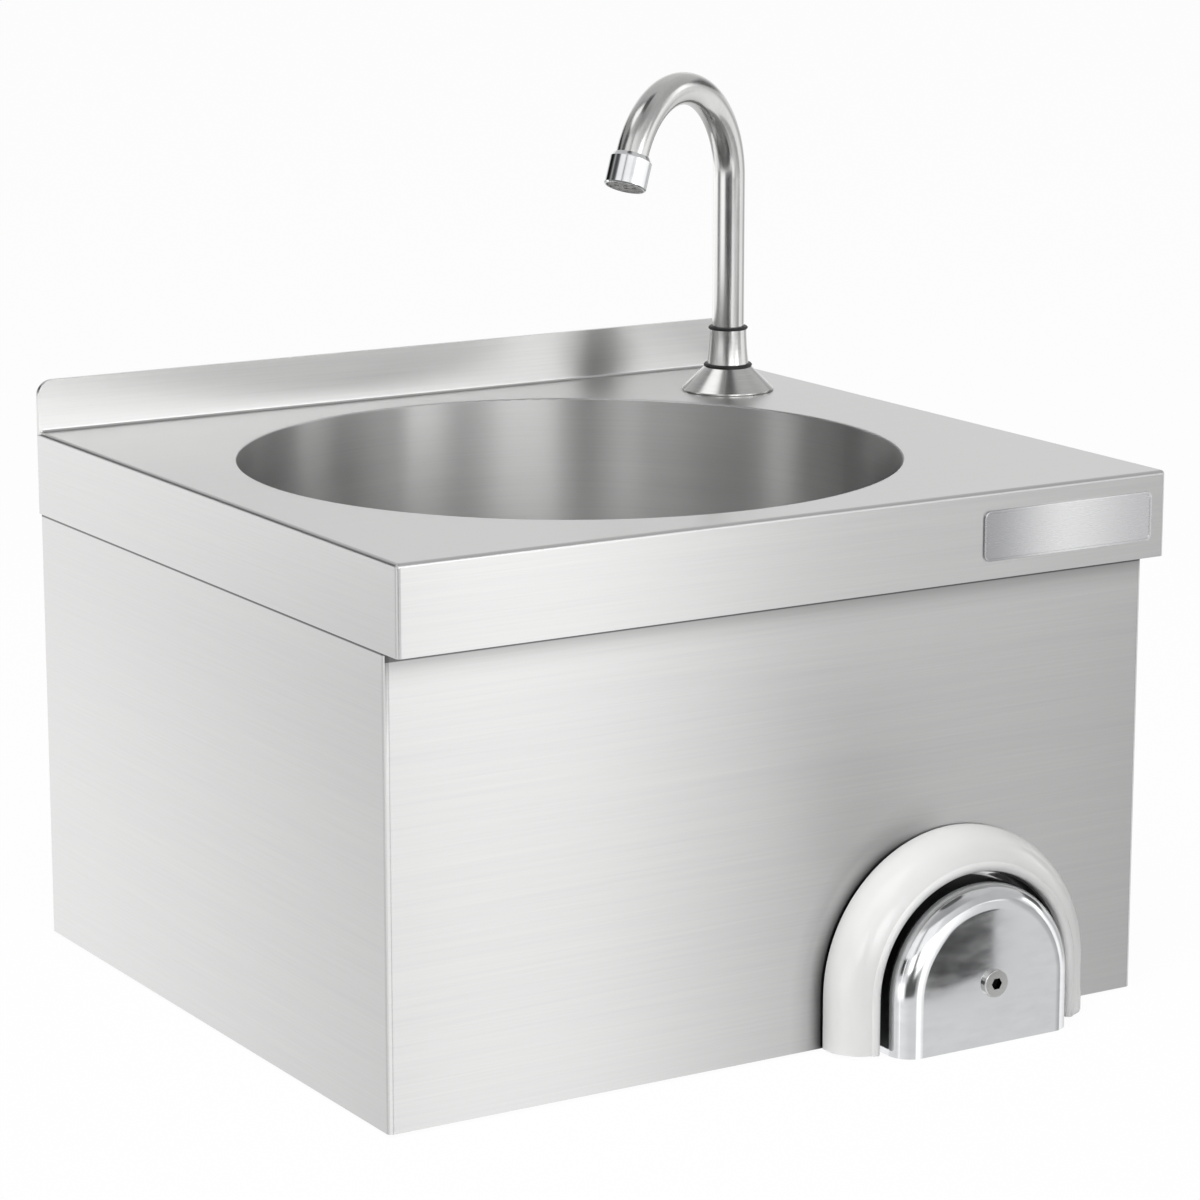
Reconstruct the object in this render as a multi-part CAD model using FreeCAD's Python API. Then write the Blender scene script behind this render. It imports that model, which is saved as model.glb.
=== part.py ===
import FreeCAD, Part
import math
import os

from FreeCAD import Placement, Rotation, Vector

# Wall-hung stainless steel hand wash sink, worked with the knee, with a swan-neck spout.
# Millimetres. X runs along the wall, +Y points into the wall and Z is up. The origin is on
# the wall face, at the middle of the sink's width, level with the top of the deck.

# ---- Worktop: deck, apron on three sides and upstand at the wall ----
WIDTH = 400.0
DEPTH = 360.0
HEIGHT = 250.0               # deck top to the casing's bottom edge
SHEET = 1.2                  # sheet of the worktop, casing and bowl
APRON_DROP = 40.0
BEND_R = 2.0                 # outside radius of the worktop's folds
UPSTAND_RISE = 25.0
UPSTAND_CORNER_R = 8.0
UPSTAND_COVE_R = 1.5

# ---- Bowl ----
BOWL_R = 155.0
BOWL_X = -12.0               # the bowl stands a little left of the middle
BOWL_FRONT_MARGIN = 21.0     # apron front to the bowl's wall
BOWL_DEPTH = 150.0
BOWL_FALL = 6.0              # fall of the floor from the heel to the waste
BOWL_HEEL_R = 45.0
RIM_EASE = 0.7               # eased inner edge of the welded rim
WELD_GAP = 0.05

# ---- Casing: front and two sides folded from one sheet, open below ----
PANEL_SETBACK = 14.0         # apron front to casing front
CASING_BEND_R = 2.4
CASING_TOP_GAP = 1.0
HEM = 12.0                   # return flange round the bottom edge

# ---- Wall fixing ----
RAIL_SHEET = 2.0
RAIL_DROP = 56.0
RAIL_FLANGE = 18.0
BRACE_RISE = 40.0
BRACE_FLANGE = 16.0
BRACE_LIFT = 52.0            # casing's bottom edge to the brace, clear of the inlets
BOLT_INSET = 80.0            # sink's side to the wall bolts
BOLT_R = 4.5
UPPER_BOLT_DROP = 28.0       # deck top to the upper bolts
LOWER_BOLT_LIFT = 20.0       # brace's lower edge to the lower bolts

# ---- Waste ----
STRAINER_R = 35.0
STRAINER_T = 2.0
STRAINER_SKIRT_R = 26.5
STRAINER_HOLE_R = 2.6
RECESS_DEPTH = 3.0
UPPER_GASKET_T = 1.0
LOWER_GASKET_T = 3.0
WASTE_CUP_R = 30.0
WASTE_CUP_DEPTH = 26.0
WASTE_TUBE_R = 19.0
WASTE_TUBE_LENGTH = 20.0
WASTE_WALL = 3.0
WASTE_SCREW_R = 3.0
WASTE_NUT_SKIRT = 6.0        # union nut below the waste body's tube
TAIL_R = 16.0
TAIL_WALL = 1.5
TAIL_LENGTH = 41.5
TAIL_BEAD = 1.0              # stop bead's height over the tailpiece

# ---- Tap ----
TAP_SIDE_INSET = 49.0        # sink's right side to the tap's axis
TAP_WALL_INSET = 68.5        # wall to the tap's axis
TAP_SKIRT = 11.35            # cone's foot beyond its top, on the radius
TAP_BASE_RISE = 12.0
TAP_FOOT = 1.0
O_RING_T = 1.6
COLLAR_BOTTOM_WALL = 2.5     # collar over the spout, at its foot
COLLAR_TOP_WALL = 1.3        # and at its top
COLLAR_RISE = 17.4
SHANK_R = 10.3
SHANK_DROP = 62.0            # deck top to the shank's lower end
SHANK_BORE_R = 6.0
TAP_WASHER_R = 19.0
TAP_WASHER_T = 3.0
TAP_STEEL_WASHER_T = 2.0
TAP_NUT_AF = 27.0
TAP_NUT_T = 9.0

# ---- Swan-neck spout ----
SPOUT_R = 8.0
SPOUT_WALL = 1.0
SPOUT_STRAIGHT_TOP = 108.5   # deck top to where the bend starts
SPOUT_BEND_R = 47.9
SPOUT_BEND_DEG = 156.5
SPOUT_AZIMUTH_DEG = 206.0    # direction of the outlet at rest, from +X towards +Y
SPOUT_RUNNING_GAP = 0.05
AERATOR_WALL = 2.5           # aerator over the spout
AERATOR_LENGTH = 16.4
AERATOR_STUB = 6.0           # straight tube inside the aerator

# ---- Knee push ----
KNEE_SIDE_INSET = 106.0      # sink's right side to the push's spindle
KNEE_LIFT = 28.0             # casing's bottom edge to the push's spindle
ARCH_SHIFT = 2.0             # push's arch left of its spindle
ARCH_DROP = 3.0              # and below it
SURROUND_BAND = 17.5         # surround's width at its base
SURROUND_PROUD = 22.5
SURROUND_BEAD = 4.6          # width of the bead round the surround's inner edge
SURROUND_GASKET_T = 1.0
PUSH_R = 48.0
PUSH_GAP = 4.0               # push to the surround and to the panel's opening
PUSH_PROUD = 33.0
PUSH_WALL = 2.0
PUSH_EDGE_R = 11.0
PUSH_SKIRT = 29.0
PUSH_FOOT_SAG = 1.0          # push's lower edge below the casing's
PUSH_HUB_R = 10.0
PUSH_SCREW_R = 2.5
PUSH_SCREW_HEAD_R = 6.5
SPINDLE_R = 4.0
SPINDLE_LENGTH = 74.0
SPINDLE_GAP = 0.05

# ---- Knee valve behind the front panel ----
BRACKET_SHEET = 2.0
BRACKET_STANDOFF = 20.8      # casing's inner face to the bracket's rear face
BRACKET_CLEARANCE = 21.0     # panel's opening to the bracket's legs
BRACKET_FOOT = 12.0
BRACKET_RISE = 32.0          # web's edge above and below the axis
NECK_R = 12.0
NECK_LENGTH = 10.0
VALVE_NUT_T = 6.0
VALVE_NUT_AF = 34.0
VALVE_WASHER_T = 1.5
VALVE_FLANGE_R = 18.0
BARREL_R = 16.0
BARREL_LENGTH = 34.0
MANIFOLD_HALF_WIDTH = 30.0
MANIFOLD_DEPTH = 26.0
MANIFOLD_RISE = 15.0
INLET_HALF_SPACING = 19.0
INLET_R = 10.45
INLET_LENGTH = 16.0
INLET_BORE_R = 3.8           # way through the check valve
INLET_HEX_AF = 24.0
INLET_HEX_T = 10.0
OUTLET_R = 8.3
OUTLET_LENGTH = 10.0
SPRING_R = 14.0
SPRING_WIRE_R = 0.9
SPRING_TURNS = 5

# ---- Riser pipe from the valve to the tap ----
PIPE_R = 5.0
PIPE_WALL = 1.0
PIPE_OFFSET = 44.0           # valve's side to the pipe's run under the bowl
PIPE_LOW_BEND_R = 20.0
PIPE_RISE_BEND_R = 30.0
UNION_SEAT = 0.3             # running gap of the unions and washers on their threads

# ---- Levels and faces worked out from the sizes above ----
BOTTOM = -HEIGHT
BOWL_Y = -(DEPTH - BOWL_FRONT_MARGIN - BOWL_R)
TAP_X = WIDTH / 2 - TAP_SIDE_INSET
TAP_Y = -TAP_WALL_INSET
COLLAR_BOTTOM_R = SPOUT_R + COLLAR_BOTTOM_WALL
COLLAR_TOP_R = SPOUT_R + COLLAR_TOP_WALL
AERATOR_R = SPOUT_R + AERATOR_WALL
KNEE_X = WIDTH / 2 - KNEE_SIDE_INSET
KNEE_Z = BOTTOM + KNEE_LIFT
ARCH_X = KNEE_X - ARCH_SHIFT
ARCH_Z = KNEE_Z - ARCH_DROP
SURROUND_BORE_R = PUSH_R + PUSH_GAP
SURROUND_R = SURROUND_BORE_R + SURROUND_BAND
BRACKET_HALF_SPAN = SURROUND_BORE_R + BRACKET_CLEARANCE
PANEL_Y = -(DEPTH - PANEL_SETBACK)
PANEL_BACK_Y = PANEL_Y + SHEET
CASING_HALF_WIDTH = WIDTH / 2 - SHEET
RECESS_Z = -(BOWL_DEPTH + RECESS_DEPTH)
PUSH_FACE_Y = PANEL_Y - PUSH_PROUD
SURROUND_BACK_Y = PANEL_Y - SURROUND_GASKET_T
BRACKET_REAR_Y = PANEL_BACK_Y + BRACKET_STANDOFF
BRACKET_FRONT_Y = BRACKET_REAR_Y - BRACKET_SHEET
VALVE_FLANGE_Y = BRACKET_REAR_Y + VALVE_WASHER_T
NECK_FRONT_Y = BRACKET_FRONT_Y - NECK_LENGTH
BARREL_Y = VALVE_FLANGE_Y + 4.0
MANIFOLD_Y = BARREL_Y + BARREL_LENGTH
MANIFOLD_REAR_Y = MANIFOLD_Y + MANIFOLD_DEPTH
OUTLET_X = KNEE_X + MANIFOLD_HALF_WIDTH
OUTLET_Y = MANIFOLD_Y + MANIFOLD_DEPTH / 2
COLLAR_Z = TAP_BASE_RISE + O_RING_T
COLLAR_TOP_Z = COLLAR_Z + COLLAR_RISE

X_AXIS = Vector(1, 0, 0)
Y_AXIS = Vector(0, 1, 0)
Z_AXIS = Vector(0, 0, 1)


# ---------------------------------------------------------------- helpers

def box(x0, x1, y0, y1, z0, z1):
    return Part.makeBox(x1 - x0, y1 - y0, z1 - z0, Vector(x0, y0, z0))


def rod(radius, start, end):
    """A cylinder between two points."""
    axis = end - start
    return Part.makeCylinder(radius, axis.Length, start, axis)


def tube(outer, inner, start, end):
    """A pipe between two points, bored right through."""
    axis = (end - start).normalize()
    bore = rod(inner, start - axis, end + axis)
    return rod(outer, start, end).cut(bore)


def hexagon(across_flats, start, end, bore=0.0):
    """A hexagonal bar, with a bore if one is given, its flats facing up and down."""
    axis = end - start
    turn = Rotation(Z_AXIS, axis)
    corner = across_flats / math.sqrt(3)
    corners = []
    for step in range(7):
        angle = math.radians(60 * step)
        local = Vector(corner * math.cos(angle), corner * math.sin(angle), 0)
        corners.append(start + turn.multVec(local))
    bar = Part.Face(Part.makePolygon(corners)).extrude(axis)
    if bore > 0:
        lead = (end - start).normalize()
        bar = bar.cut(rod(bore, start - lead, end + lead))
    return bar


def edges_where(shape, test):
    """The edges whose bounding box passes the test."""
    picked = []
    for edge in shape.Edges:
        box_of = edge.BoundBox
        if test(box_of):
            picked.append(edge)
    return picked


def line(start, end):
    return Part.makeLine(start, end)


def arc_from_tangent(start, tangent, end):
    """The arc that leaves start along tangent and reaches end."""
    chord = end - start
    half = chord.Length / 2
    along = Vector(chord).normalize()
    sideways = tangent - along * tangent.dot(along)
    if sideways.Length < 1e-9:
        return line(start, end)
    sideways.normalize()
    half_turn = tangent.getAngle(chord)
    middle = (start + end) * 0.5 + sideways * (half * math.tan(half_turn / 2))
    return Part.Arc(start, middle, end).toShape()


def rounded_path(points, radii):
    """Straight runs through the points, joined by tangent arcs of the given radii."""
    edges = []
    here = points[0]
    for index in range(1, len(points) - 1):
        corner = points[index]
        before = (corner - points[index - 1]).normalize()
        after = (points[index + 1] - corner).normalize()
        radius = radii[index - 1]
        if radius > 0:
            setback = radius * math.tan(before.getAngle(after) / 2)
            arc_start = corner - before * setback
            arc_end = corner + after * setback
            edges.append(line(here, arc_start))
            edges.append(arc_from_tangent(arc_start, before, arc_end))
            here = arc_end
        else:
            edges.append(line(here, corner))
            here = corner
    edges.append(line(here, points[-1]))
    return Part.Wire(edges)


def sweep_pipe(path, start, direction, radius, wall):
    """A pipe of round section along a path of runs and tangent arcs."""
    skin = []
    for section_radius in (radius, radius - wall):
        circle = Part.Wire(Part.makeCircle(section_radius, start, direction))
        skin.append(path.makePipeShell([circle], True, False))
    return skin[0].cut(skin[1])


def revolve_profile(points, x, y):
    """A closed (radius, z) outline turned about the vertical line through x, y."""
    corners = [Vector(x + radius, y, z) for radius, z in points]
    face = Part.Face(Part.makePolygon(corners + corners[:1]))
    return face.revolve(Vector(x, y, 0), Z_AXIS, 360)


def knee_form(section, foot_z):
    """An arched form round the push's arch centre, from a (radius, y) section face.

    The section is drawn to the right of the centre. It is turned over the top by half a
    turn, and runs straight down on both sides to foot_z.
    """
    axis_point = Vector(ARCH_X, 0, ARCH_Z)
    arch = section.revolve(axis_point, -Y_AXIS, 180)
    leg = section.extrude(Vector(0, 0, foot_z - ARCH_Z))
    other_leg = leg.mirror(axis_point, X_AXIS)
    return arch.fuse([leg, other_leg]).removeSplitter()


def arch_point(radius, y):
    return Vector(ARCH_X + radius, y, ARCH_Z)


def on_knee_axis(y):
    return Vector(KNEE_X, y, KNEE_Z)


def on_tap_axis(z):
    return Vector(TAP_X, TAP_Y, z)


def on_bowl_axis(z):
    return Vector(BOWL_X, BOWL_Y, z)


# ---------------------------------------------------------------- sheet metal

def make_worktop():
    """Deck, apron and back skirt as one tray, with the hemmed upstand on its rear edge."""
    half = WIDTH / 2
    outside = box(-half, half, -DEPTH, 0, -APRON_DROP, 0)
    folds = edges_where(outside, lambda b: (
        (b.ZLength < 1e-6 and abs(b.ZMax) < 1e-6 and b.YMin < -1)
        or (b.ZLength > 1 and b.YMin < -1)))
    outside = outside.makeFillet(BEND_R, folds)
    inside = box(-half + SHEET, half - SHEET, -DEPTH + SHEET, -SHEET, -APRON_DROP - 1, -SHEET)
    inner_folds = edges_where(inside, lambda b: (
        (b.ZLength < 1e-6 and b.ZMax > -2 * SHEET and b.YMin < -2 * SHEET)
        or (b.ZLength > 1 and b.YMin < -2 * SHEET)))
    inside = inside.makeFillet(BEND_R - SHEET, inner_folds)
    tray = outside.cut(inside)
    lip = box(-half + SHEET, half - SHEET, -DEPTH + SHEET, PANEL_Y, -APRON_DROP, -APRON_DROP + SHEET)
    upstand = box(-half, half, -2 * SHEET, 0, -SHEET, UPSTAND_RISE)
    ends = edges_where(upstand, lambda b: b.YLength > 1 and b.ZMin > 1)
    upstand = upstand.makeFillet(UPSTAND_CORNER_R, ends)
    cove_end = half - BEND_R
    upstand_y = -2 * SHEET
    cove = box(-cove_end, cove_end, upstand_y - UPSTAND_COVE_R, upstand_y, 0, UPSTAND_COVE_R)
    hollow_start = Vector(-half, upstand_y - UPSTAND_COVE_R, UPSTAND_COVE_R)
    cove = cove.cut(rod(UPSTAND_COVE_R, hollow_start, hollow_start + X_AXIS * WIDTH))
    top = tray.fuse([lip, upstand, cove]).removeSplitter()
    bowl_hole = rod(BOWL_R + SHEET + WELD_GAP, on_bowl_axis(-APRON_DROP), on_bowl_axis(1))
    tap_hole = rod(SHANK_R + 0.5, on_tap_axis(-APRON_DROP), on_tap_axis(1))
    top = top.cut(bowl_hole).cut(tap_hole)
    return top.cut(wall_bolt_holes(-UPPER_BOLT_DROP))


def wall_bolt_holes(z):
    holes = []
    bolt_x = WIDTH / 2 - BOLT_INSET
    for x in (-bolt_x, bolt_x):
        holes.append(rod(BOLT_R, Vector(x, -4 * RAIL_SHEET, z), Vector(x, 1, z)))
    return holes


def make_bowl():
    """Drawn round bowl with a straight wall, a falling floor and a recess for the waste."""
    recess_r = STRAINER_R + 2.0
    hole_r = STRAINER_SKIRT_R + 0.5
    heel_z = -(BOWL_DEPTH - BOWL_FALL)
    inner = [
        Vector(BOWL_X + BOWL_R, BOWL_Y, -RIM_EASE),
        Vector(BOWL_X + BOWL_R, BOWL_Y, heel_z),
        Vector(BOWL_X + recess_r, BOWL_Y, -BOWL_DEPTH),
        Vector(BOWL_X + recess_r, BOWL_Y, RECESS_Z),
        Vector(BOWL_X + hole_r, BOWL_Y, RECESS_Z),
    ]
    outer = [
        Vector(BOWL_X + hole_r, BOWL_Y, RECESS_Z - SHEET),
        Vector(BOWL_X + recess_r + SHEET, BOWL_Y, RECESS_Z - SHEET),
        Vector(BOWL_X + recess_r + SHEET, BOWL_Y, -BOWL_DEPTH - SHEET),
        Vector(BOWL_X + BOWL_R + SHEET, BOWL_Y, heel_z - SHEET),
        Vector(BOWL_X + BOWL_R + SHEET, BOWL_Y, 0),
    ]
    inner_wire = rounded_path(inner, [BOWL_HEEL_R, 0, 0])
    outer_wire = rounded_path(outer, [0, 0, BOWL_HEEL_R + SHEET])
    rim_start = Vector(BOWL_X + BOWL_R + RIM_EASE, BOWL_Y, 0)
    rim = arc_from_tangent(rim_start, -X_AXIS, inner[0])
    edges = inner_wire.Edges + [line(inner[-1], outer[0])] + outer_wire.Edges
    edges += [line(outer[-1], rim_start), rim]
    face = Part.Face(Part.Wire(Part.__sortEdges__(edges)))
    return face.revolve(on_bowl_axis(0), Z_AXIS, 360)


def make_casing():
    """Front and side panels folded from one sheet, with a hem and the push's opening."""
    half = CASING_HALF_WIDTH
    top = -SHEET - CASING_TOP_GAP
    outside = box(-half, half, PANEL_Y, 0, BOTTOM, top)
    corners = edges_where(outside, lambda b: b.ZLength > 1 and b.YMax < -1)
    outside = outside.makeFillet(CASING_BEND_R, corners)
    inside = box(-half + SHEET, half - SHEET, PANEL_BACK_Y, 1, BOTTOM - 1, 1)
    inner_corners = edges_where(inside, lambda b: b.ZLength > 1 and b.YMax < -1)
    inside = inside.makeFillet(CASING_BEND_R - SHEET, inner_corners)
    hem_ring = outside.common(box(-WIDTH, WIDTH, -DEPTH, 0, BOTTOM, BOTTOM + SHEET))
    hem_ring = hem_ring.cut(box(-half + HEM, half - HEM, PANEL_Y + HEM, 1, BOTTOM - 1, 0))
    casing = outside.cut(inside).fuse(hem_ring).removeSplitter()
    opening_section = Part.Face(Part.makePolygon([
        arch_point(0, PANEL_Y - 1), arch_point(SURROUND_BORE_R, PANEL_Y - 1),
        arch_point(SURROUND_BORE_R, PANEL_Y + HEM + 1), arch_point(0, PANEL_Y + HEM + 1),
        arch_point(0, PANEL_Y - 1)]))
    opening = knee_form(opening_section, BOTTOM - 1)
    behind_skirt = box(-WIDTH, WIDTH, -SHEET, 1, -APRON_DROP, 1)
    return casing.cut(opening).cut(behind_skirt)


def make_wall_rail():
    """Folded angle under the deck's rear edge that takes the upper wall bolts."""
    half = CASING_HALF_WIDTH - SHEET
    back = -SHEET
    outside = box(-half, half, back - RAIL_FLANGE, back, -RAIL_DROP, -SHEET)
    fold = edges_where(outside, lambda b: b.XLength > 1 and b.ZMin > -2 * SHEET and b.YMin > -2 * SHEET)
    outside = outside.makeFillet(RAIL_SHEET + 1, fold)
    inside = box(-half - 1, half + 1, back - RAIL_FLANGE - 1, back - RAIL_SHEET,
                 -RAIL_DROP - 1, -SHEET - RAIL_SHEET)
    inner_fold = edges_where(inside, lambda b: (
        b.XLength > 1 and b.ZMin > -SHEET - RAIL_SHEET - 1 and b.YMin > back - RAIL_SHEET - 1))
    inside = inside.makeFillet(1, inner_fold)
    return outside.cut(inside).cut(wall_bolt_holes(-UPPER_BOLT_DROP))


def make_lower_wall_brace():
    """Folded angle between the casing's sides that takes the lower wall bolts."""
    half = CASING_HALF_WIDTH - SHEET
    low = BOTTOM + BRACE_LIFT
    outside = box(-half, half, -BRACE_FLANGE, 0, low, low + BRACE_RISE)
    inside = box(-half - 1, half + 1, -BRACE_FLANGE - 1, -RAIL_SHEET,
                 low - 1, low + BRACE_RISE - RAIL_SHEET)
    brace = outside.cut(inside)
    fold = edges_where(brace, lambda b: (
        b.XLength > 1 and b.YMin > -0.01 and b.ZMin > low + BRACE_RISE - 0.01))
    brace = brace.makeFillet(RAIL_SHEET, fold)
    return brace.cut(wall_bolt_holes(low + LOWER_BOLT_LIFT))


# ---------------------------------------------------------------- waste

def waste_levels():
    """Heights down the waste: strainer seat, gasket faces, cup floor and tube end."""
    seat = RECESS_Z + UPPER_GASKET_T
    under_bowl = RECESS_Z - SHEET
    cup_top = under_bowl - LOWER_GASKET_T
    cup_floor = cup_top - WASTE_CUP_DEPTH
    tube_end = cup_floor - WASTE_TUBE_LENGTH
    return seat, under_bowl, cup_top, cup_floor, tube_end


def make_waste_strainer():
    """Dished strainer plate with two rings of holes and a skirt through the bowl."""
    seat, under_bowl, cup_top, cup_floor, tube_end = waste_levels()
    dish_r = STRAINER_SKIRT_R - 1.5
    dish_z = seat - 1.0
    plate = revolve_profile([
        (0, dish_z - STRAINER_T), (dish_r - 1, dish_z - STRAINER_T), (dish_r - 1, under_bowl - 6),
        (STRAINER_SKIRT_R, under_bowl - 6), (STRAINER_SKIRT_R, seat), (STRAINER_R, seat),
        (STRAINER_R, seat + 0.6), (STRAINER_R - 2, seat + STRAINER_T),
        (dish_r + 1, seat + STRAINER_T), (dish_r - 2, dish_z), (0, dish_z)], BOWL_X, BOWL_Y)
    cuts = [rod(WASTE_SCREW_R, on_bowl_axis(dish_z - 5), on_bowl_axis(dish_z + 1))]
    for ring_r, count in ((9.5, 6), (17.5, 12)):
        for step in range(count):
            angle = 2 * math.pi * (step + 0.5) / count
            x = BOWL_X + ring_r * math.cos(angle)
            y = BOWL_Y + ring_r * math.sin(angle)
            cuts.append(rod(STRAINER_HOLE_R, Vector(x, y, dish_z - 5), Vector(x, y, dish_z + 1)))
    return plate.cut(cuts)


def make_waste_upper_gasket():
    return tube(STRAINER_R - 1, STRAINER_SKIRT_R + 0.5, on_bowl_axis(RECESS_Z),
                on_bowl_axis(RECESS_Z + UPPER_GASKET_T))


def make_waste_lower_gasket():
    seat, under_bowl, cup_top, cup_floor, tube_end = waste_levels()
    return tube(STRAINER_R + 1, STRAINER_SKIRT_R + 0.5, on_bowl_axis(cup_top), on_bowl_axis(under_bowl))


def make_waste_body():
    """Moulded cup with a flange under the bowl, a cross bar for the screw and a threaded tube."""
    seat, under_bowl, cup_top, cup_floor, tube_end = waste_levels()
    bore = WASTE_TUBE_R - WASTE_WALL
    inner_r = WASTE_CUP_R - WASTE_WALL + 0.5
    shell = revolve_profile([
        (bore, tube_end), (WASTE_TUBE_R, tube_end), (WASTE_TUBE_R, cup_floor - WASTE_WALL),
        (WASTE_CUP_R, cup_floor + 8), (WASTE_CUP_R, cup_top - WASTE_WALL),
        (STRAINER_R + 2, cup_top - WASTE_WALL), (STRAINER_R + 2, cup_top),
        (inner_r, cup_top), (inner_r, cup_floor + 9), (bore, cup_floor)], BOWL_X, BOWL_Y)
    bar_top = cup_floor + 12
    bar = box(BOWL_X - inner_r - 1, BOWL_X + inner_r + 1, BOWL_Y - 3, BOWL_Y + 3, cup_floor + 4, bar_top)
    boss = rod(6.5, on_bowl_axis(cup_floor + 4), on_bowl_axis(bar_top + 2))
    hole = rod(WASTE_SCREW_R, on_bowl_axis(cup_floor), on_bowl_axis(bar_top + 3))
    return shell.fuse([bar, boss]).removeSplitter().cut(hole)


def make_waste_screw():
    """Raised countersunk screw that clamps the strainer to the waste body."""
    seat, under_bowl, cup_top, cup_floor, tube_end = waste_levels()
    dish_z = seat - 1.0
    head_r = 6.0
    screw = revolve_profile([
        (0, cup_floor + 3), (WASTE_SCREW_R, cup_floor + 3), (WASTE_SCREW_R, dish_z),
        (head_r, dish_z), (head_r, dish_z + 0.8), (head_r - 2, dish_z + 2), (0, dish_z + 2)],
        BOWL_X, BOWL_Y)
    slot = box(BOWL_X - head_r, BOWL_X + head_r, BOWL_Y - 0.6, BOWL_Y + 0.6, dish_z + 1, dish_z + 3)
    return screw.cut(slot)


def make_waste_union_nut():
    """Lugged hand nut that holds the tailpiece on the waste body."""
    seat, under_bowl, cup_top, cup_floor, tube_end = waste_levels()
    wall = 3.5
    top = tube_end + 10
    low = tube_end - WASTE_NUT_SKIRT
    outer_r = WASTE_TUBE_R + UNION_SEAT + wall
    nut = rod(outer_r, on_bowl_axis(low), on_bowl_axis(top))
    lugs = []
    for step in range(8):
        lug = box(outer_r - 1, outer_r + 2, -2, 2, low, top)
        lug.rotate(Vector(), Z_AXIS, 45 * step)
        lug.translate(on_bowl_axis(0))
        lugs.append(lug)
    nut = nut.fuse(lugs).removeSplitter()
    thread_bore = rod(WASTE_TUBE_R + UNION_SEAT, on_bowl_axis(low + 3), on_bowl_axis(top + 1))
    tail_bore = rod(TAIL_R + UNION_SEAT, on_bowl_axis(low - 1), on_bowl_axis(top + 1))
    return nut.cut([thread_bore, tail_bore])


def make_waste_tailpiece():
    """Flanged tail pipe, held by the union nut, with a bead where the trap's socket stops."""
    seat, under_bowl, cup_top, cup_floor, tube_end = waste_levels()
    flange_z = tube_end - UNION_SEAT
    end_z = flange_z - TAIL_LENGTH
    bead_z = tube_end - WASTE_NUT_SKIRT - UNION_SEAT
    bead_r = TAIL_R + TAIL_BEAD
    return revolve_profile([
        (TAIL_R - TAIL_WALL, end_z), (TAIL_R, end_z), (TAIL_R, bead_z - 2), (bead_r, bead_z - 2),
        (bead_r, bead_z), (TAIL_R, bead_z), (TAIL_R, flange_z - 2), (WASTE_TUBE_R, flange_z - 2),
        (WASTE_TUBE_R, flange_z), (TAIL_R - TAIL_WALL, flange_z)], BOWL_X, BOWL_Y)


# ---------------------------------------------------------------- tap

SPIGOT_R = COLLAR_BOTTOM_R - 0.9
SPIGOT_RISE = 5.0
SPOUT_SEAT_Z = 5.0
SPOUT_BORE_R = SPOUT_R + SPOUT_RUNNING_GAP


def make_tap_base():
    """Conical base that clamps on the deck, with a spigot for the collar."""
    spigot_top = COLLAR_Z + SPIGOT_RISE
    cone_top_r = COLLAR_BOTTOM_R + 1.5
    foot_r = cone_top_r + TAP_SKIRT
    return revolve_profile([
        (SHANK_R, 0), (foot_r - 0.4, 0), (foot_r, 0.4), (foot_r, TAP_FOOT),
        (cone_top_r, TAP_BASE_RISE), (SPIGOT_R, TAP_BASE_RISE), (SPIGOT_R, spigot_top),
        (SPOUT_BORE_R, spigot_top), (SPOUT_BORE_R, SPOUT_SEAT_Z), (SHANK_BORE_R, SPOUT_SEAT_Z),
        (SHANK_BORE_R, SPOUT_SEAT_Z - 1), (SHANK_R, SPOUT_SEAT_Z - 1)], TAP_X, TAP_Y)


def o_ring(inner_r, outer_r, z):
    """A rubber ring with a rounded outer edge, lying on the level z."""
    ease = O_RING_T / 3
    return revolve_profile([
        (inner_r, z), (outer_r - ease, z), (outer_r, z + ease), (outer_r, z + O_RING_T - ease),
        (outer_r - ease, z + O_RING_T), (inner_r, z + O_RING_T)], TAP_X, TAP_Y)


def make_lower_o_ring():
    return o_ring(SPIGOT_R, COLLAR_BOTTOM_R + 1.8, TAP_BASE_RISE)


def make_upper_o_ring():
    return o_ring(SPOUT_BORE_R, COLLAR_TOP_R + 0.7, COLLAR_TOP_Z)


def make_tap_collar():
    """Waisted collar nut that keeps the spout in the base."""
    waist_r = (COLLAR_BOTTOM_R + COLLAR_TOP_R) / 2 - 0.25
    spigot_top = COLLAR_Z + SPIGOT_RISE
    points = [(COLLAR_BOTTOM_R, COLLAR_Z), (COLLAR_TOP_R, COLLAR_TOP_Z)]
    low, high = [Vector(TAP_X + radius, TAP_Y, z) for radius, z in points]
    middle = Vector(TAP_X + waist_r, TAP_Y, (COLLAR_Z + COLLAR_TOP_Z) / 2)
    inner = [
        high,
        Vector(TAP_X + SPOUT_BORE_R, TAP_Y, COLLAR_TOP_Z),
        Vector(TAP_X + SPOUT_BORE_R, TAP_Y, spigot_top),
        Vector(TAP_X + SPIGOT_R, TAP_Y, spigot_top),
        Vector(TAP_X + SPIGOT_R, TAP_Y, COLLAR_Z),
        low,
    ]
    edges = [Part.Arc(low, middle, high).toShape()]
    for start, end in zip(inner, inner[1:]):
        edges.append(line(start, end))
    face = Part.Face(Part.Wire(Part.__sortEdges__(edges)))
    return face.revolve(on_tap_axis(0), Z_AXIS, 360)


def make_tap_shank():
    return tube(SHANK_R, SHANK_BORE_R, on_tap_axis(-SHANK_DROP), on_tap_axis(SPOUT_SEAT_Z - 1))


TAP_WASHER_Z = -SHEET - TAP_WASHER_T
TAP_NUT_TOP_Z = TAP_WASHER_Z - TAP_STEEL_WASHER_T


def make_tap_rubber_washer():
    return tube(TAP_WASHER_R, SHANK_R + UNION_SEAT, on_tap_axis(TAP_WASHER_Z), on_tap_axis(-SHEET))


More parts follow.
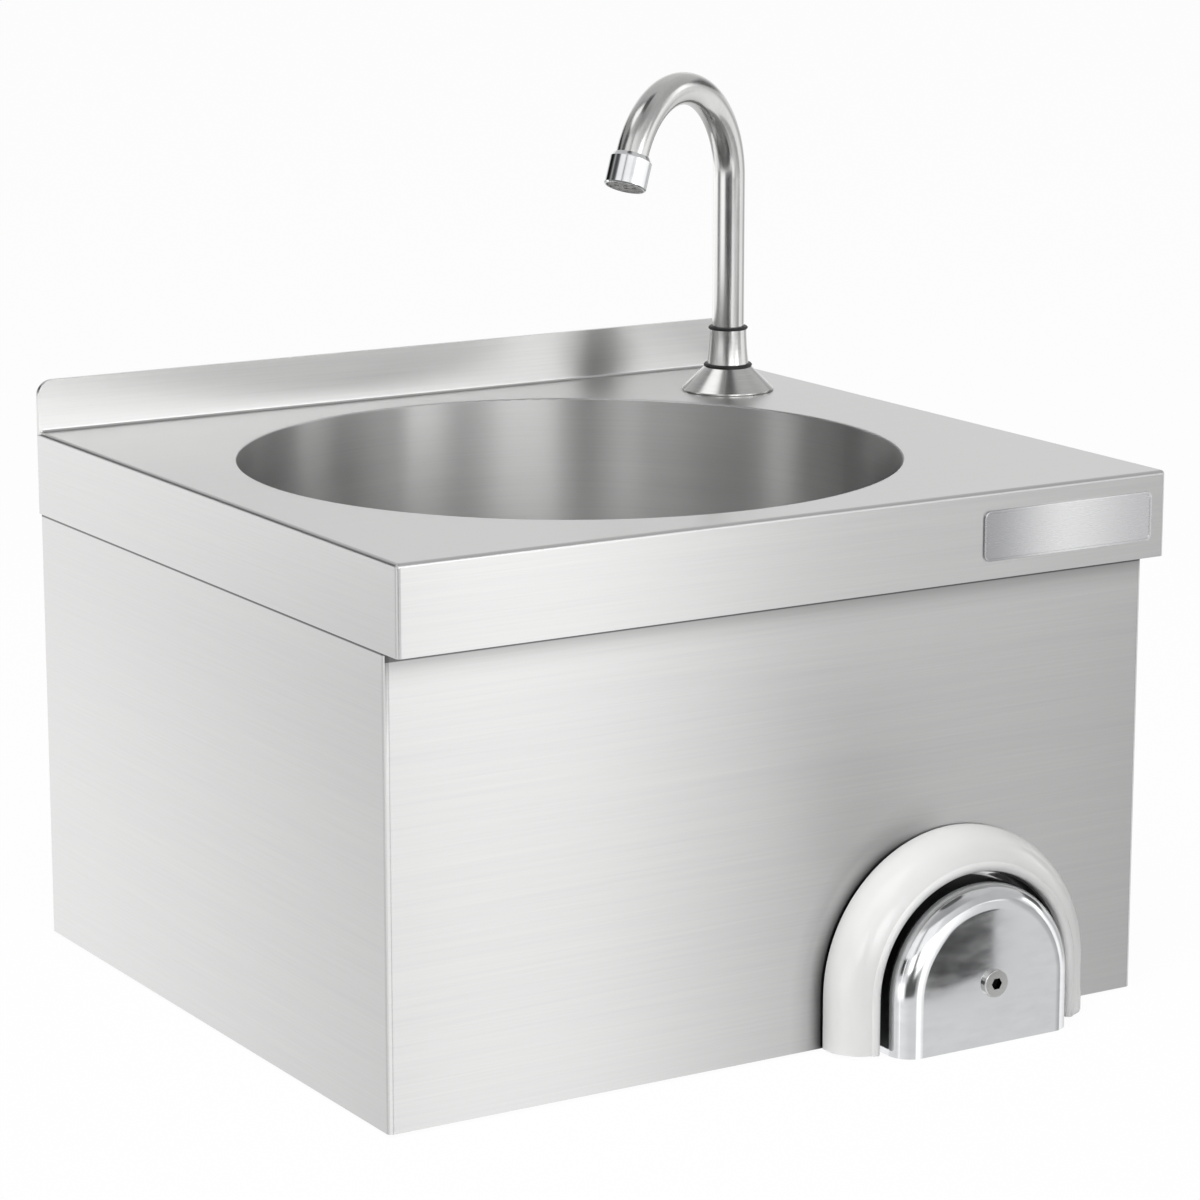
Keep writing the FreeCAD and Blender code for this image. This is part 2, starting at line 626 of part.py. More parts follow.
def make_tap_steel_washer():
    return tube(TAP_WASHER_R + 1, SHANK_R + UNION_SEAT, on_tap_axis(TAP_NUT_TOP_Z),
                on_tap_axis(TAP_WASHER_Z))


def make_tap_lock_nut():
    return hexagon(TAP_NUT_AF, on_tap_axis(TAP_NUT_TOP_Z - TAP_NUT_T), on_tap_axis(TAP_NUT_TOP_Z),
                   SHANK_R + UNION_SEAT)


# ---------------------------------------------------------------- spout

def spout_frame(angle_deg):
    """The spout's centre line at an angle round its bend: the point and its direction."""
    azimuth = math.radians(SPOUT_AZIMUTH_DEG)
    outwards = Vector(math.cos(azimuth), math.sin(azimuth), 0)
    angle = math.radians(angle_deg)
    reach = SPOUT_BEND_R * (1 - math.cos(angle))
    rise = SPOUT_STRAIGHT_TOP + SPOUT_BEND_R * math.sin(angle)
    point = on_tap_axis(rise) + outwards * reach
    direction = outwards * math.sin(angle) + Z_AXIS * math.cos(angle)
    return point, direction


def make_spout_tube():
    """Straight riser, one round bend over the top and a short stub for the aerator."""
    foot = on_tap_axis(SPOUT_SEAT_Z + UNION_SEAT)
    bend_start, up = spout_frame(0)
    bend_end, out = spout_frame(SPOUT_BEND_DEG)
    crown, along = spout_frame(SPOUT_BEND_DEG / 2)
    path = Part.Wire([
        line(foot, bend_start),
        Part.Arc(bend_start, crown, bend_end).toShape(),
        line(bend_end, bend_end + out * AERATOR_STUB)])
    return sweep_pipe(path, foot, Z_AXIS, SPOUT_R, SPOUT_WALL)


def on_spout_end(shape):
    """Seats a piece drawn downstream along +Z on the end of the spout's bend."""
    point, direction = spout_frame(SPOUT_BEND_DEG)
    shape.Placement = Placement(point, Rotation(Z_AXIS, direction))
    return shape


def make_aerator_housing():
    """Turned sleeve with a shouldered top, open below."""
    top = 0.2
    lip = AERATOR_R - 1.2
    housing = revolve_profile([
        (SPOUT_R + WELD_GAP, top), (SPOUT_R + 0.9, top), (AERATOR_R - 0.6, top + 1.6),
        (AERATOR_R, top + 2.4), (AERATOR_R, AERATOR_LENGTH - 0.6),
        (AERATOR_R - 0.6, AERATOR_LENGTH), (lip, AERATOR_LENGTH),
        (lip, AERATOR_STUB + UNION_SEAT), (SPOUT_R + WELD_GAP, AERATOR_STUB + UNION_SEAT)], 0, 0)
    return on_spout_end(housing)


def make_aerator_seal():
    seal = tube(AERATOR_R - 1.3, 6, Vector(0, 0, AERATOR_STUB + UNION_SEAT),
                Vector(0, 0, AERATOR_STUB + UNION_SEAT + 1.5))
    return on_spout_end(seal)


def make_aerator_insert():
    """Flow straightener: a short cup with a pierced face."""
    start = AERATOR_STUB + UNION_SEAT + 1.5
    face = AERATOR_LENGTH - 1.0
    radius = AERATOR_R - 1.3
    cup = rod(radius, Vector(0, 0, start), Vector(0, 0, face))
    cuts = [rod(radius - 1, Vector(0, 0, start - 1), Vector(0, 0, face - 1.5))]
    for ring_r, count in ((0, 1), (radius * 0.55, 6)):
        for step in range(count):
            angle = 2 * math.pi * step / count
            spot = Vector(ring_r * math.cos(angle), ring_r * math.sin(angle), face - 3)
            cuts.append(rod(1.4, spot, spot + Z_AXIS * 5))
    return on_spout_end(cup.cut(cuts))


# ---------------------------------------------------------------- knee push

def make_knee_surround():
    """Bulged arch round the push, hollow behind, with a bead round its inner edge."""
    front = PANEL_Y - SURROUND_PROUD
    base_out = arch_point(SURROUND_R, SURROUND_BACK_Y)
    shoulder = arch_point(SURROUND_R - 2.7, SURROUND_BACK_Y - 0.56 * SURROUND_PROUD)
    valley = arch_point(SURROUND_BORE_R + SURROUND_BEAD, front + 1.3)
    bead_top = arch_point(SURROUND_BORE_R + SURROUND_BEAD / 2, front)
    lip_in = arch_point(SURROUND_BORE_R, front + 2.6)
    base_in = arch_point(SURROUND_BORE_R, SURROUND_BACK_Y)
    groove = [
        base_in,
        arch_point(SURROUND_BORE_R + 3, SURROUND_BACK_Y),
        arch_point(SURROUND_BORE_R + 3, front + 7),
        arch_point(SURROUND_R - 7, front + 10),
        arch_point(SURROUND_R - 3, SURROUND_BACK_Y),
        base_out,
    ]
    edges = [
        Part.Arc(base_out, shoulder, valley).toShape(),
        Part.Arc(valley, bead_top, lip_in).toShape(),
        line(lip_in, base_in),
    ]
    for start, end in zip(groove, groove[1:]):
        edges.append(line(start, end))
    section = Part.Face(Part.Wire(Part.__sortEdges__(edges)))
    return knee_form(section, BOTTOM)


def make_surround_gasket():
    """Rubber band between the surround and the panel, set in from the surround's edge."""
    section = Part.Face(Part.makePolygon([
        arch_point(SURROUND_BORE_R + 1, SURROUND_BACK_Y), arch_point(SURROUND_R - 1.5, SURROUND_BACK_Y),
        arch_point(SURROUND_R - 1.5, PANEL_Y), arch_point(SURROUND_BORE_R + 1, PANEL_Y),
        arch_point(SURROUND_BORE_R + 1, SURROUND_BACK_Y)]))
    return knee_form(section, BOTTOM + 1)


def make_push_cap():
    """Arched cap with a flat face and a large rounded edge, open behind and below."""
    skirt_y = PUSH_FACE_Y + PUSH_SKIRT
    inner_r = PUSH_R - PUSH_WALL
    inner_edge_r = PUSH_EDGE_R - PUSH_WALL
    inner_face_y = PUSH_FACE_Y + PUSH_WALL
    outer_start = arch_point(PUSH_R - PUSH_EDGE_R, PUSH_FACE_Y)
    outer_end = arch_point(PUSH_R, PUSH_FACE_Y + PUSH_EDGE_R)
    inner_start = arch_point(inner_r, inner_face_y + inner_edge_r)
    inner_end = arch_point(inner_r - inner_edge_r, inner_face_y)
    edges = [
        line(arch_point(0, PUSH_FACE_Y), outer_start),
        arc_from_tangent(outer_start, X_AXIS, outer_end),
        line(outer_end, arch_point(PUSH_R, skirt_y)),
        line(arch_point(PUSH_R, skirt_y), arch_point(inner_r, skirt_y)),
        line(arch_point(inner_r, skirt_y), inner_start),
        arc_from_tangent(inner_start, -Y_AXIS, inner_end),
        line(inner_end, arch_point(0, inner_face_y)),
        line(arch_point(0, inner_face_y), arch_point(0, PUSH_FACE_Y)),
    ]
    section = Part.Face(Part.Wire(edges))
    shell = knee_form(section, BOTTOM - PUSH_FOOT_SAG)
    hub = rod(PUSH_HUB_R, on_knee_axis(inner_face_y), on_knee_axis(skirt_y + 2))
    cap = shell.fuse(hub).removeSplitter()
    screw_hole = rod(PUSH_SCREW_R, on_knee_axis(PUSH_FACE_Y - 1), on_knee_axis(skirt_y + 3))
    spindle_hole = rod(SPINDLE_R, on_knee_axis(PUSH_FACE_Y + 5), on_knee_axis(skirt_y + 3))
    return cap.cut([screw_hole, spindle_hole])


def make_push_screw():
    """Disc-head screw with a hexagon socket, through the cap into the spindle."""
    head = rod(PUSH_SCREW_HEAD_R, on_knee_axis(PUSH_FACE_Y - 2), on_knee_axis(PUSH_FACE_Y))
    rim = edges_where(head, lambda b: b.YLength < 1e-6 and b.YMin < PUSH_FACE_Y - 1)
    head = head.makeFillet(0.5, rim)
    shank = rod(PUSH_SCREW_R, on_knee_axis(PUSH_FACE_Y - 0.1), on_knee_axis(PUSH_FACE_Y + 14))
    socket = hexagon(5, on_knee_axis(PUSH_FACE_Y - 3), on_knee_axis(PUSH_FACE_Y - 0.5))
    return head.fuse(shank).removeSplitter().cut(socket)


def make_push_spindle():
    """Rod from the cap into the valve, tapped at its front end for the screw."""
    front = PUSH_FACE_Y + 5
    rod_body = rod(SPINDLE_R, on_knee_axis(front), on_knee_axis(front + SPINDLE_LENGTH))
    tip = edges_where(rod_body, lambda b: b.YLength < 1e-6 and b.YMin > front + 1)
    rod_body = rod_body.makeChamfer(1, tip)
    return rod_body.cut(rod(PUSH_SCREW_R, on_knee_axis(front - 1), on_knee_axis(front + 9)))


def make_return_spring():
    """Open coil spring between the cap's inner face and the valve's lock nut."""
    front = PUSH_FACE_Y + PUSH_WALL + SPRING_WIRE_R
    rear = BRACKET_FRONT_Y - VALVE_NUT_T - SPRING_WIRE_R
    pitch = (rear - front) / SPRING_TURNS
    print("spring: least gap between turns %.2f mm" % (pitch - 2 * SPRING_WIRE_R))
    steps_per_turn = 2
    step_angle = 2 * math.pi / steps_per_turn

    def station(index):
        angle = index * step_angle
        along = front + pitch * index / steps_per_turn
        point = on_knee_axis(along) + Vector(SPRING_R * math.cos(angle), 0, SPRING_R * math.sin(angle))
        rise = pitch / (2 * math.pi * SPRING_R)
        tangent = Vector(-math.sin(angle), rise, math.cos(angle)).normalize()
        return point, tangent

    edges = []
    for index in range(SPRING_TURNS * steps_per_turn):
        start, start_tangent = station(index)
        end, end_tangent = station(index + 1)
        gap = end - start
        lean = gap.dot(start_tangent + end_tangent)
        spread = 2 * (1 - start_tangent.dot(end_tangent))
        reach = (-lean + math.sqrt(lean * lean + spread * gap.dot(gap))) / spread
        joint = (start + start_tangent * reach + end - end_tangent * reach) * 0.5
        edges.append(arc_from_tangent(start, start_tangent, joint))
        joint_tangent = (end - end_tangent * reach - start - start_tangent * reach).normalize()
        edges.append(arc_from_tangent(joint, joint_tangent, end))
    path = Part.Wire(edges)
    start, start_tangent = station(0)
    section = Part.Wire(Part.makeCircle(SPRING_WIRE_R, start, start_tangent))
    return path.makePipeShell([section], True, False)


# ---------------------------------------------------------------- knee valve

def make_knee_bracket():
    """Hat-shaped bracket welded behind the opening, holed for the valve's neck."""
    low = KNEE_Z - BRACKET_RISE + 6
    high = KNEE_Z + BRACKET_RISE
    left = KNEE_X - BRACKET_HALF_SPAN
    right = KNEE_X + BRACKET_HALF_SPAN
    web = box(left, right, BRACKET_FRONT_Y, BRACKET_REAR_Y, low, high)
    pieces = []
    for side, foot_from, foot_to in (
            (left, left - BRACKET_FOOT, left), (right - BRACKET_SHEET, right, right + BRACKET_FOOT)):
        pieces.append(box(side, side + BRACKET_SHEET, PANEL_BACK_Y, BRACKET_REAR_Y, low, high))
        pieces.append(box(foot_from, foot_to, PANEL_BACK_Y, PANEL_BACK_Y + BRACKET_SHEET, low, high))
    hat = web.fuse(pieces).removeSplitter()
    folds = edges_where(hat, lambda b: (
        b.ZLength > 1 and b.YMin > BRACKET_REAR_Y - 0.01 and
        (b.XMin < left + 0.01 or b.XMin > right - 0.01)))
    hat = hat.makeFillet(BRACKET_SHEET, folds)
    neck_hole = rod(NECK_R + 0.2, on_knee_axis(BRACKET_FRONT_Y - 1), on_knee_axis(BRACKET_REAR_Y + 1))
    return hat.cut(neck_hole)


def make_valve_lock_nut():
    return hexagon(VALVE_NUT_AF, on_knee_axis(BRACKET_FRONT_Y - VALVE_NUT_T),
                   on_knee_axis(BRACKET_FRONT_Y), NECK_R + WELD_GAP)


def make_valve_washer():
    return tube(VALVE_FLANGE_R, NECK_R + UNION_SEAT, on_knee_axis(BRACKET_REAR_Y),
                on_knee_axis(VALVE_FLANGE_Y))


def make_valve_body():
    """Neck, flange, barrel and inlet manifold with a side outlet, bored for the spindle."""
    neck = rod(NECK_R, on_knee_axis(NECK_FRONT_Y), on_knee_axis(VALVE_FLANGE_Y + 1))
    flange = rod(VALVE_FLANGE_R, on_knee_axis(VALVE_FLANGE_Y), on_knee_axis(BARREL_Y))
    barrel = rod(BARREL_R, on_knee_axis(BARREL_Y - 1), on_knee_axis(MANIFOLD_Y + 5))
    manifold = box(KNEE_X - MANIFOLD_HALF_WIDTH, OUTLET_X, MANIFOLD_Y, MANIFOLD_REAR_Y,
                   KNEE_Z - MANIFOLD_RISE, KNEE_Z + MANIFOLD_RISE)
    long_edges = edges_where(manifold, lambda b: b.XLength > 1)
    manifold = manifold.makeFillet(4, long_edges)
    outlet = rod(OUTLET_R, Vector(OUTLET_X - 1, OUTLET_Y, KNEE_Z),
                 Vector(OUTLET_X + OUTLET_LENGTH, OUTLET_Y, KNEE_Z))
    body = neck.fuse([flange, barrel, manifold, outlet]).removeSplitter()
    spindle_bore = rod(SPINDLE_R + SPINDLE_GAP, on_knee_axis(NECK_FRONT_Y - 1), on_knee_axis(MANIFOLD_Y - 4))
    seal_seat = rod(7, on_knee_axis(NECK_FRONT_Y - 1), on_knee_axis(NECK_FRONT_Y + 3))
    water_way = rod(4, Vector(OUTLET_X - 12, OUTLET_Y, KNEE_Z),
                    Vector(OUTLET_X + OUTLET_LENGTH + 1, OUTLET_Y, KNEE_Z))
    return body.cut([spindle_bore, seal_seat, water_way])


def make_spindle_seal():
    return tube(7, SPINDLE_R + SPINDLE_GAP, on_knee_axis(NECK_FRONT_Y), on_knee_axis(NECK_FRONT_Y + 3))


def make_manifold_plug():
    """Blanking plug on the side of the manifold away from the outlet."""
    face = KNEE_X - MANIFOLD_HALF_WIDTH
    return hexagon(19, Vector(face - 6, OUTLET_Y, KNEE_Z), Vector(face, OUTLET_Y, KNEE_Z))


def make_inlet(side):
    """Check valve at the back of the manifold, with a threaded end for the supply."""
    x = KNEE_X + side * INLET_HALF_SPACING
    start = Vector(x, MANIFOLD_REAR_Y, KNEE_Z)
    hex_end = start + Y_AXIS * INLET_HEX_T
    end = hex_end + Y_AXIS * INLET_LENGTH
    body = hexagon(INLET_HEX_AF, start, hex_end)
    spigot = rod(INLET_R, hex_end - Y_AXIS, end)
    bore = rod(INLET_BORE_R, start + Y_AXIS * 2, end + Y_AXIS)
    return body.fuse(spigot).removeSplitter().cut(bore)


# ---------------------------------------------------------------- riser pipe

def pipe_start():
    return Vector(OUTLET_X + OUTLET_LENGTH, OUTLET_Y, KNEE_Z)


def make_riser_pipe():
    """Bent pipe that runs under the bowl from the valve's outlet up to the tap."""
    start = pipe_start() + X_AXIS * UNION_SEAT
    corner = Vector(OUTLET_X + PIPE_OFFSET, OUTLET_Y, KNEE_Z)
    foot = Vector(TAP_X, TAP_Y, KNEE_Z)
    top = on_tap_axis(-SHANK_DROP - UNION_SEAT)
    path = rounded_path([start, corner, foot, top], [PIPE_LOW_BEND_R, PIPE_RISE_BEND_R])
    return sweep_pipe(path, start, X_AXIS, PIPE_R, PIPE_WALL)


def union_nut(seat, away, thread_r, across_flats):
    """Union nut over a threaded end at seat, with the pipe leaving along away."""
    nut = hexagon(across_flats, seat - away * 6, seat + away * 8)
    thread = rod(thread_r + UNION_SEAT, seat - away * 7, seat + away * 1)
    pipe_hole = rod(PIPE_R + UNION_SEAT, seat - away * 7, seat + away * 9)
    return nut.cut([thread, pipe_hole])


def make_riser_top_nut():
    return union_nut(on_tap_axis(-SHANK_DROP), -Z_AXIS, SHANK_R, 25)


def make_riser_bottom_nut():
    return union_nut(pipe_start(), X_AXIS, OUTLET_R, 21)


# ---------------------------------------------------------------- output

PIECES = {
    "worktop": make_worktop,
    "bowl": make_bowl,
    "casing": make_casing,
    "wall_rail": make_wall_rail,
    "lower_wall_brace": make_lower_wall_brace,
    "waste_strainer": make_waste_strainer,
    "waste_upper_gasket": make_waste_upper_gasket,
    "waste_lower_gasket": make_waste_lower_gasket,
    "waste_body": make_waste_body,
    "waste_screw": make_waste_screw,
    "waste_union_nut": make_waste_union_nut,
    "waste_tailpiece": make_waste_tailpiece,
    "tap_base": make_tap_base,
    "lower_o_ring": make_lower_o_ring,
    "tap_collar": make_tap_collar,
    "upper_o_ring": make_upper_o_ring,
    "tap_shank": make_tap_shank,
    "tap_rubber_washer": make_tap_rubber_washer,
    "tap_steel_washer": make_tap_steel_washer,
    "tap_lock_nut": make_tap_lock_nut,
    "spout_tube": make_spout_tube,
    "aerator_housing": make_aerator_housing,
    "aerator_seal": make_aerator_seal,
    "aerator_insert": make_aerator_insert,
    "knee_surround": make_knee_surround,
    "surround_gasket": make_surround_gasket,
    "push_cap": make_push_cap,
    "push_screw": make_push_screw,
    "push_spindle": make_push_spindle,
    "return_spring": make_return_spring,
    "knee_bracket": make_knee_bracket,
    "valve_lock_nut": make_valve_lock_nut,
    "valve_washer": make_valve_washer,
    "valve_body": make_valve_body,
    "spindle_seal": make_spindle_seal,
    "manifold_plug": make_manifold_plug,
    "hot_inlet": lambda: make_inlet(-1),
    "cold_inlet": lambda: make_inlet(1),
    "riser_pipe": make_riser_pipe,
    "riser_top_nut": make_riser_top_nut,
    "riser_bottom_nut": make_riser_bottom_nut,
}


def main():
    os.makedirs("parts", exist_ok=True)
    for name, make in PIECES.items():
        shape = make()
        if len(shape.Solids) != 1 or not shape.isValid():
            print("check", name, "solids", len(shape.Solids), "valid", shape.isValid())
        solid = shape.Solids[0] if shape.Solids else shape
        solid.exportStep("parts/" + name + ".step")


main()
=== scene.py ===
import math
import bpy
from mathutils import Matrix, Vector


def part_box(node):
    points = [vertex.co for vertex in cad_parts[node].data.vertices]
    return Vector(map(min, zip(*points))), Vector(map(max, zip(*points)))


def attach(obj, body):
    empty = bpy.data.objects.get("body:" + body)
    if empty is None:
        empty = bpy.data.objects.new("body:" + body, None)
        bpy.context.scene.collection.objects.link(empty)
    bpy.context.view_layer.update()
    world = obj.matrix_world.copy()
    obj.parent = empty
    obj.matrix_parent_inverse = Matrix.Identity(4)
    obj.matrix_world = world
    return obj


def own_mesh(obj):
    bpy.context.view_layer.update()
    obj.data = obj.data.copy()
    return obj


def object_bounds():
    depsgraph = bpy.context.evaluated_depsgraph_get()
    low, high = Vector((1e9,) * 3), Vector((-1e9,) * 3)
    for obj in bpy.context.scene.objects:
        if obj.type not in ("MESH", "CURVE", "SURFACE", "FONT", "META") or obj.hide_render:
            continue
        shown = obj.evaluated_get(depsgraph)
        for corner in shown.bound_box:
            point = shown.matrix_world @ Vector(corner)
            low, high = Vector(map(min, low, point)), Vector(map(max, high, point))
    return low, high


bl_info = {
    "name": "Hand Wash Sink",
    "version": (1, 0, 0),
    "blender": (4, 5, 0),
    "location": "View3D > Sidebar > Sink",
    "description": "Finishes, small fittings and a pale studio for a knee-operated hand wash sink",
    "category": "Object",
}

import bmesh
import bpy
from bpy.props import FloatProperty, FloatVectorProperty, PointerProperty
from mathutils import Euler, Vector

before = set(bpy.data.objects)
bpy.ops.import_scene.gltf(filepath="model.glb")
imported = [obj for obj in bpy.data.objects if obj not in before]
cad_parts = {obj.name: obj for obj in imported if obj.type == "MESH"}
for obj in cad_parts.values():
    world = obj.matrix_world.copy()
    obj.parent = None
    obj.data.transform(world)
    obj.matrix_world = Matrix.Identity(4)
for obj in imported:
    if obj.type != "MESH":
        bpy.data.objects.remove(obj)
cad_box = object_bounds()

MM = 0.001

# The camera stands where the photograph was taken from. The photograph is square.
LENS_MM = 123.835
SENSOR_MM = 36.0
CAMERA_PLACE_MM = (-985.603, -1808.307, 348.456)
CAMERA_PITCH_DEG = -12.45
CAMERA_YAW_DEG = -31.363

# What shiny surfaces see of the studio, one ring of walls above another. A ring fades in between two
# sines of elevation. Its stops are (bearing in degrees, clockwise from the wall behind the sink; level).
# The levels were given to match the photograph's highlights from the camera's place, after its tones
# were read there, so the metal looks plainer under plain light.
BRIGHTEST = 5.0
STUDIO_RINGS = [
    (-1.0, -0.9, [
        (-180, 0.85), (-147, 0.85), (-126, 0.95), (-94, 1.05), (-73, 0.65), (-41, 0.3), (-20, 0.5),
        (20, 0.8), (60, 0.8), (100, 1.2), (135, 1.2), (150, 1.0), (170, 0.85), (180, 0.85)]),
    (-0.27, -0.2, [
        (-180, 0.45), (-170, 0.5), (-164, 0.1), (-126, 0.12), (-120, 0.8), (-113, 1.7), (-92, 1.75),
        (-84, 1.1), (-76, 0.35), (-63, 0.35), (-55, 1.4), (-45, 1.75), (-15, 1.7), (15, 1.2),
        (50, 0.9), (85, 0.6), (100, 1.25), (135, 1.35), (150, 1.2), (161, 0.85), (168, 0.4),
        (176, 0.27), (180, 0.45)]),
    (-0.05, 0.05, [
        (-180, 1.6), (-172, 2.2), (-157, 1.8), (-150, 0.4), (-143, 0.12), (-134, 0.15), (-124, 0.6),
        (-112, 1.0), (-98, 0.9), (-86, 0.8), (-74, 0.6), (-65, 0.5), (-50, 0.4), (-30, 0.3),
        (0, 1.02), (45, 1.0), (70, 1.0), (90, 0.6), (105, 1.5), (138, 1.4), (144, 0.8),
        (147, 0.8), (149.5, 1.2), (152, 3.8), (162, 3.6), (170, 1.6), (180, 1.6)]),
    (0.1, 0.17, [
        (-180, 2.6), (-172, 4.6), (-157, 4.2), (-150, 1.4), (-143, 0.1), (-136, 1.6), (-128, 3.4),
        (-119, 1.2), (-105, 0.6), (-96, 0.1), (-84, 0.05), (-76, 1.0), (-69, 2.6), (-52, 0.2),
        (-30, 0.0), (-10, 0.05), (6, 1.0), (45, 1.0), (62, 0.5), (78, 0.1), (90, 0.2), (99, 2.4),
        (108, 1.2), (120, 0.5), (128, 0.6), (141, 1.8), (147, 1.8), (151, 3.6), (160, 3.2),
        (172, 1.6), (180, 2.6)]),
    (0.35, 0.42, [
        (-180, 0.9), (-172, 0.95), (-165, 1.2), (-136, 1.2), (-130, 0.9), (-126, 0.25), (-122, 0.9),
        (-113, 1.2), (-88, 1.1), (-82, 0.4), (-76, 0.15), (-66, 0.07), (-56, 0.15), (-48, 0.5),
        (-25, 0.4), (-12, 0.6), (0, 0.65), (40, 0.8), (100, 0.6), (150, 0.6), (180, 0.9)]),
    (0.74, 0.82, [
        (-180, 0.4), (-120, 0.5), (-78, 0.8), (-70, 1.7), (-34, 1.7), (-28, 0.4), (-20, 0.3),
        (-8, 0.6), (0, 0.65), (40, 0.7), (130, 0.65), (150, 0.5), (180, 0.4)]),
    (0.965, 0.985, [(-180, 0.12), (180, 0.12)]),
]

# Soft shadows painted on the casing, as shares of black, which stay there under any light. They
# go by height under the apron, and by distance out from the edge of the push's surround, in mm.
SHADOW_UNDER_APRON = [(-56, 0), (-50, 0.11), (-46.5, 0.28), (-44.6, 0.36), (-44.3, 0.8), (-40, 0.8)]
SHADOW_ON_SIDES = [(-41.7, 0), (-41.3, 0.8), (-40, 0.8)]
SHADOW_BY_SURROUND = [(-1, 0.9), (0, 0.88), (1.5, 0.76), (4, 0.5), (8, 0.22), (12, 0.08), (17, 0)]
# The shadow grows to the left of the surround's middle, between these shares of its radius.
SHADOW_STARTS, SHADOW_IS_FULL = 0.05, -0.6

# A face looks sideways, or up, when its normal's part that way is above these.
SIDEWAYS, UP = 0.7, 0.5
# Brushed lines run level, so a quarter turn stretches highlights upright, across them.
HIGHLIGHT_TURN = 0.25
# Share of the belt's soft bands, against the fine lines, in the shade of brushed steel.
BAND_SHARE = 0.35

# Size on each axis of the marks that the tool left: turned parts and drawn tube.
TURNED_GRAIN_MM = (11.1, 11.1, 0.625)
DRAWN_GRAIN_MM = (0.833, 0.833, 25)

SOCKET_RADIUS_MM = 3.0      # radius of the painted shade in the screw's hexagon socket
SOCKET_START_MM = 0.2       # from the screw's face to where the painted shade in the socket starts
FLOOR_GAP_MM = 0.5          # the floor lies this far under the sink
FLOOR_WHITENESS = 0.97      # share of plain white in the floor that the camera sees

SHEET_STEEL = ["worktop", "wall_rail", "lower_wall_brace", "knee_bracket"]
TURNED_STEEL = ["tap_base", "tap_collar", "tap_steel_washer", "push_spindle"]
DRAWN_TUBE = ["spout_tube", "riser_pipe"]
WASTE_STEEL = ["waste_strainer", "waste_screw"]
MIRROR_CHROME = ["push_cap", "aerator_housing"]
MACHINED_BRASS = [
    "tap_shank", "tap_lock_nut", "valve_body", "valve_lock_nut", "manifold_plug",
    "hot_inlet", "cold_inlet", "riser_top_nut", "riser_bottom_nut",
]
RUBBER = [
    "lower_o_ring", "upper_o_ring", "tap_rubber_washer", "surround_gasket", "spindle_seal",
    "aerator_seal", "waste_upper_gasket", "waste_lower_gasket",
]
MOULDED_PLASTIC = ["waste_body", "waste_union_nut", "waste_tailpiece", "valve_washer", "aerator_insert"]


# ---------------------------------------------------------------- small helpers

def linear(hex_colour):
    """sRGB hex to the linear colour that a shader socket takes."""
    channels = []
    for start in (1, 3, 5):
        value = int(hex_colour[start:start + 2], 16) / 255
        if value <= 0.04045:
            channels.append(value / 12.92)
        else:
            channels.append(((value + 0.055) / 1.055) ** 2.4)
    return (*channels, 1.0)


def in_use(sockets, name=None):
    """The first socket in use, or the first in use with that name: a Mix node has several."""
    return next(socket for socket in sockets if socket.enabled and name in (None, socket.name))


def fill(tree, node, inputs):
    """Fills a node's sockets with values, or with links from sockets or from whole nodes."""
    for key, source in inputs.items():
        socket = node.inputs[key] if isinstance(key, int) else in_use(node.inputs, key)
        if isinstance(source, bpy.types.Node):
            source = in_use(source.outputs)
        if isinstance(source, bpy.types.NodeSocket):
            tree.links.new(source, socket)
        else:
            socket.default_value = source


def add_node(tree, kind, settings=None, inputs=None):
    """Adds a node, sets its own settings, and fills its sockets."""
    node = tree.nodes.new(kind)
    for name, value in (settings or {}).items():
        setattr(node, name, value)
    fill(tree, node, inputs or {})
    return node


def new_finish(name):
    """An empty material with a Principled shader, and its node tree."""
    finish = bpy.data.materials.new(name)
    finish.use_nodes = True
    tree = finish.node_tree
    tree.nodes.clear()
    shader = add_node(tree, "ShaderNodeBsdfPrincipled")
    add_node(tree, "ShaderNodeOutputMaterial", inputs={"Surface": shader})
    return finish, tree, shader


def give_finish(finish, names):
    """Puts a finish on CAD nodes, whose meshes stay as they are."""
    for name in names:
        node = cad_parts[name]
        node.data.materials.clear()
        node.data.materials.append(finish)


def new_piece(shape, name, finish, body):
    """Turns a bmesh into a piece of the object that rides on a body."""
    bmesh.ops.recalc_face_normals(shape, faces=shape.faces)
    mesh = bpy.data.meshes.new(name)
    shape.to_mesh(mesh)
    shape.free()
    mesh.materials.append(finish)
    piece = bpy.data.objects.new(name, mesh)
    bpy.context.scene.collection.objects.link(piece)
    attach(piece, body)
    return piece


def stretch_noise(tree, size_mm, detail=3.0, place=None):
    """Noise whose marks have a size in mm on each axis: a large size makes long streaks."""
    if place is None:
        place = add_node(tree, "ShaderNodeTexCoord").outputs["Object"]
    mapped = add_node(tree, "ShaderNodeMapping", inputs={
        "Vector": place, "Scale": [1 / (size * MM) for size in size_mm]})
    return add_node(tree, "ShaderNodeTexNoise", inputs={
        "Vector": mapped, "Scale": 1.0, "Detail": detail, "Roughness": 0.55})


def between(tree, noise, first, second, most=1.0):
    """A number or a colour that follows noise, which is mostly 0.3 to 0.7, from first to second."""
    share = add_node(tree, "ShaderNodeMapRange", inputs={
        "Value": noise, "From Min": 0.3, "From Max": 0.7, "To Max": most})
    kind = "FLOAT" if isinstance(second, float) else "RGBA"
    return add_node(tree, "ShaderNodeMix", {"data_type": kind}, {
        "Factor": share, "A": first, "B": second})


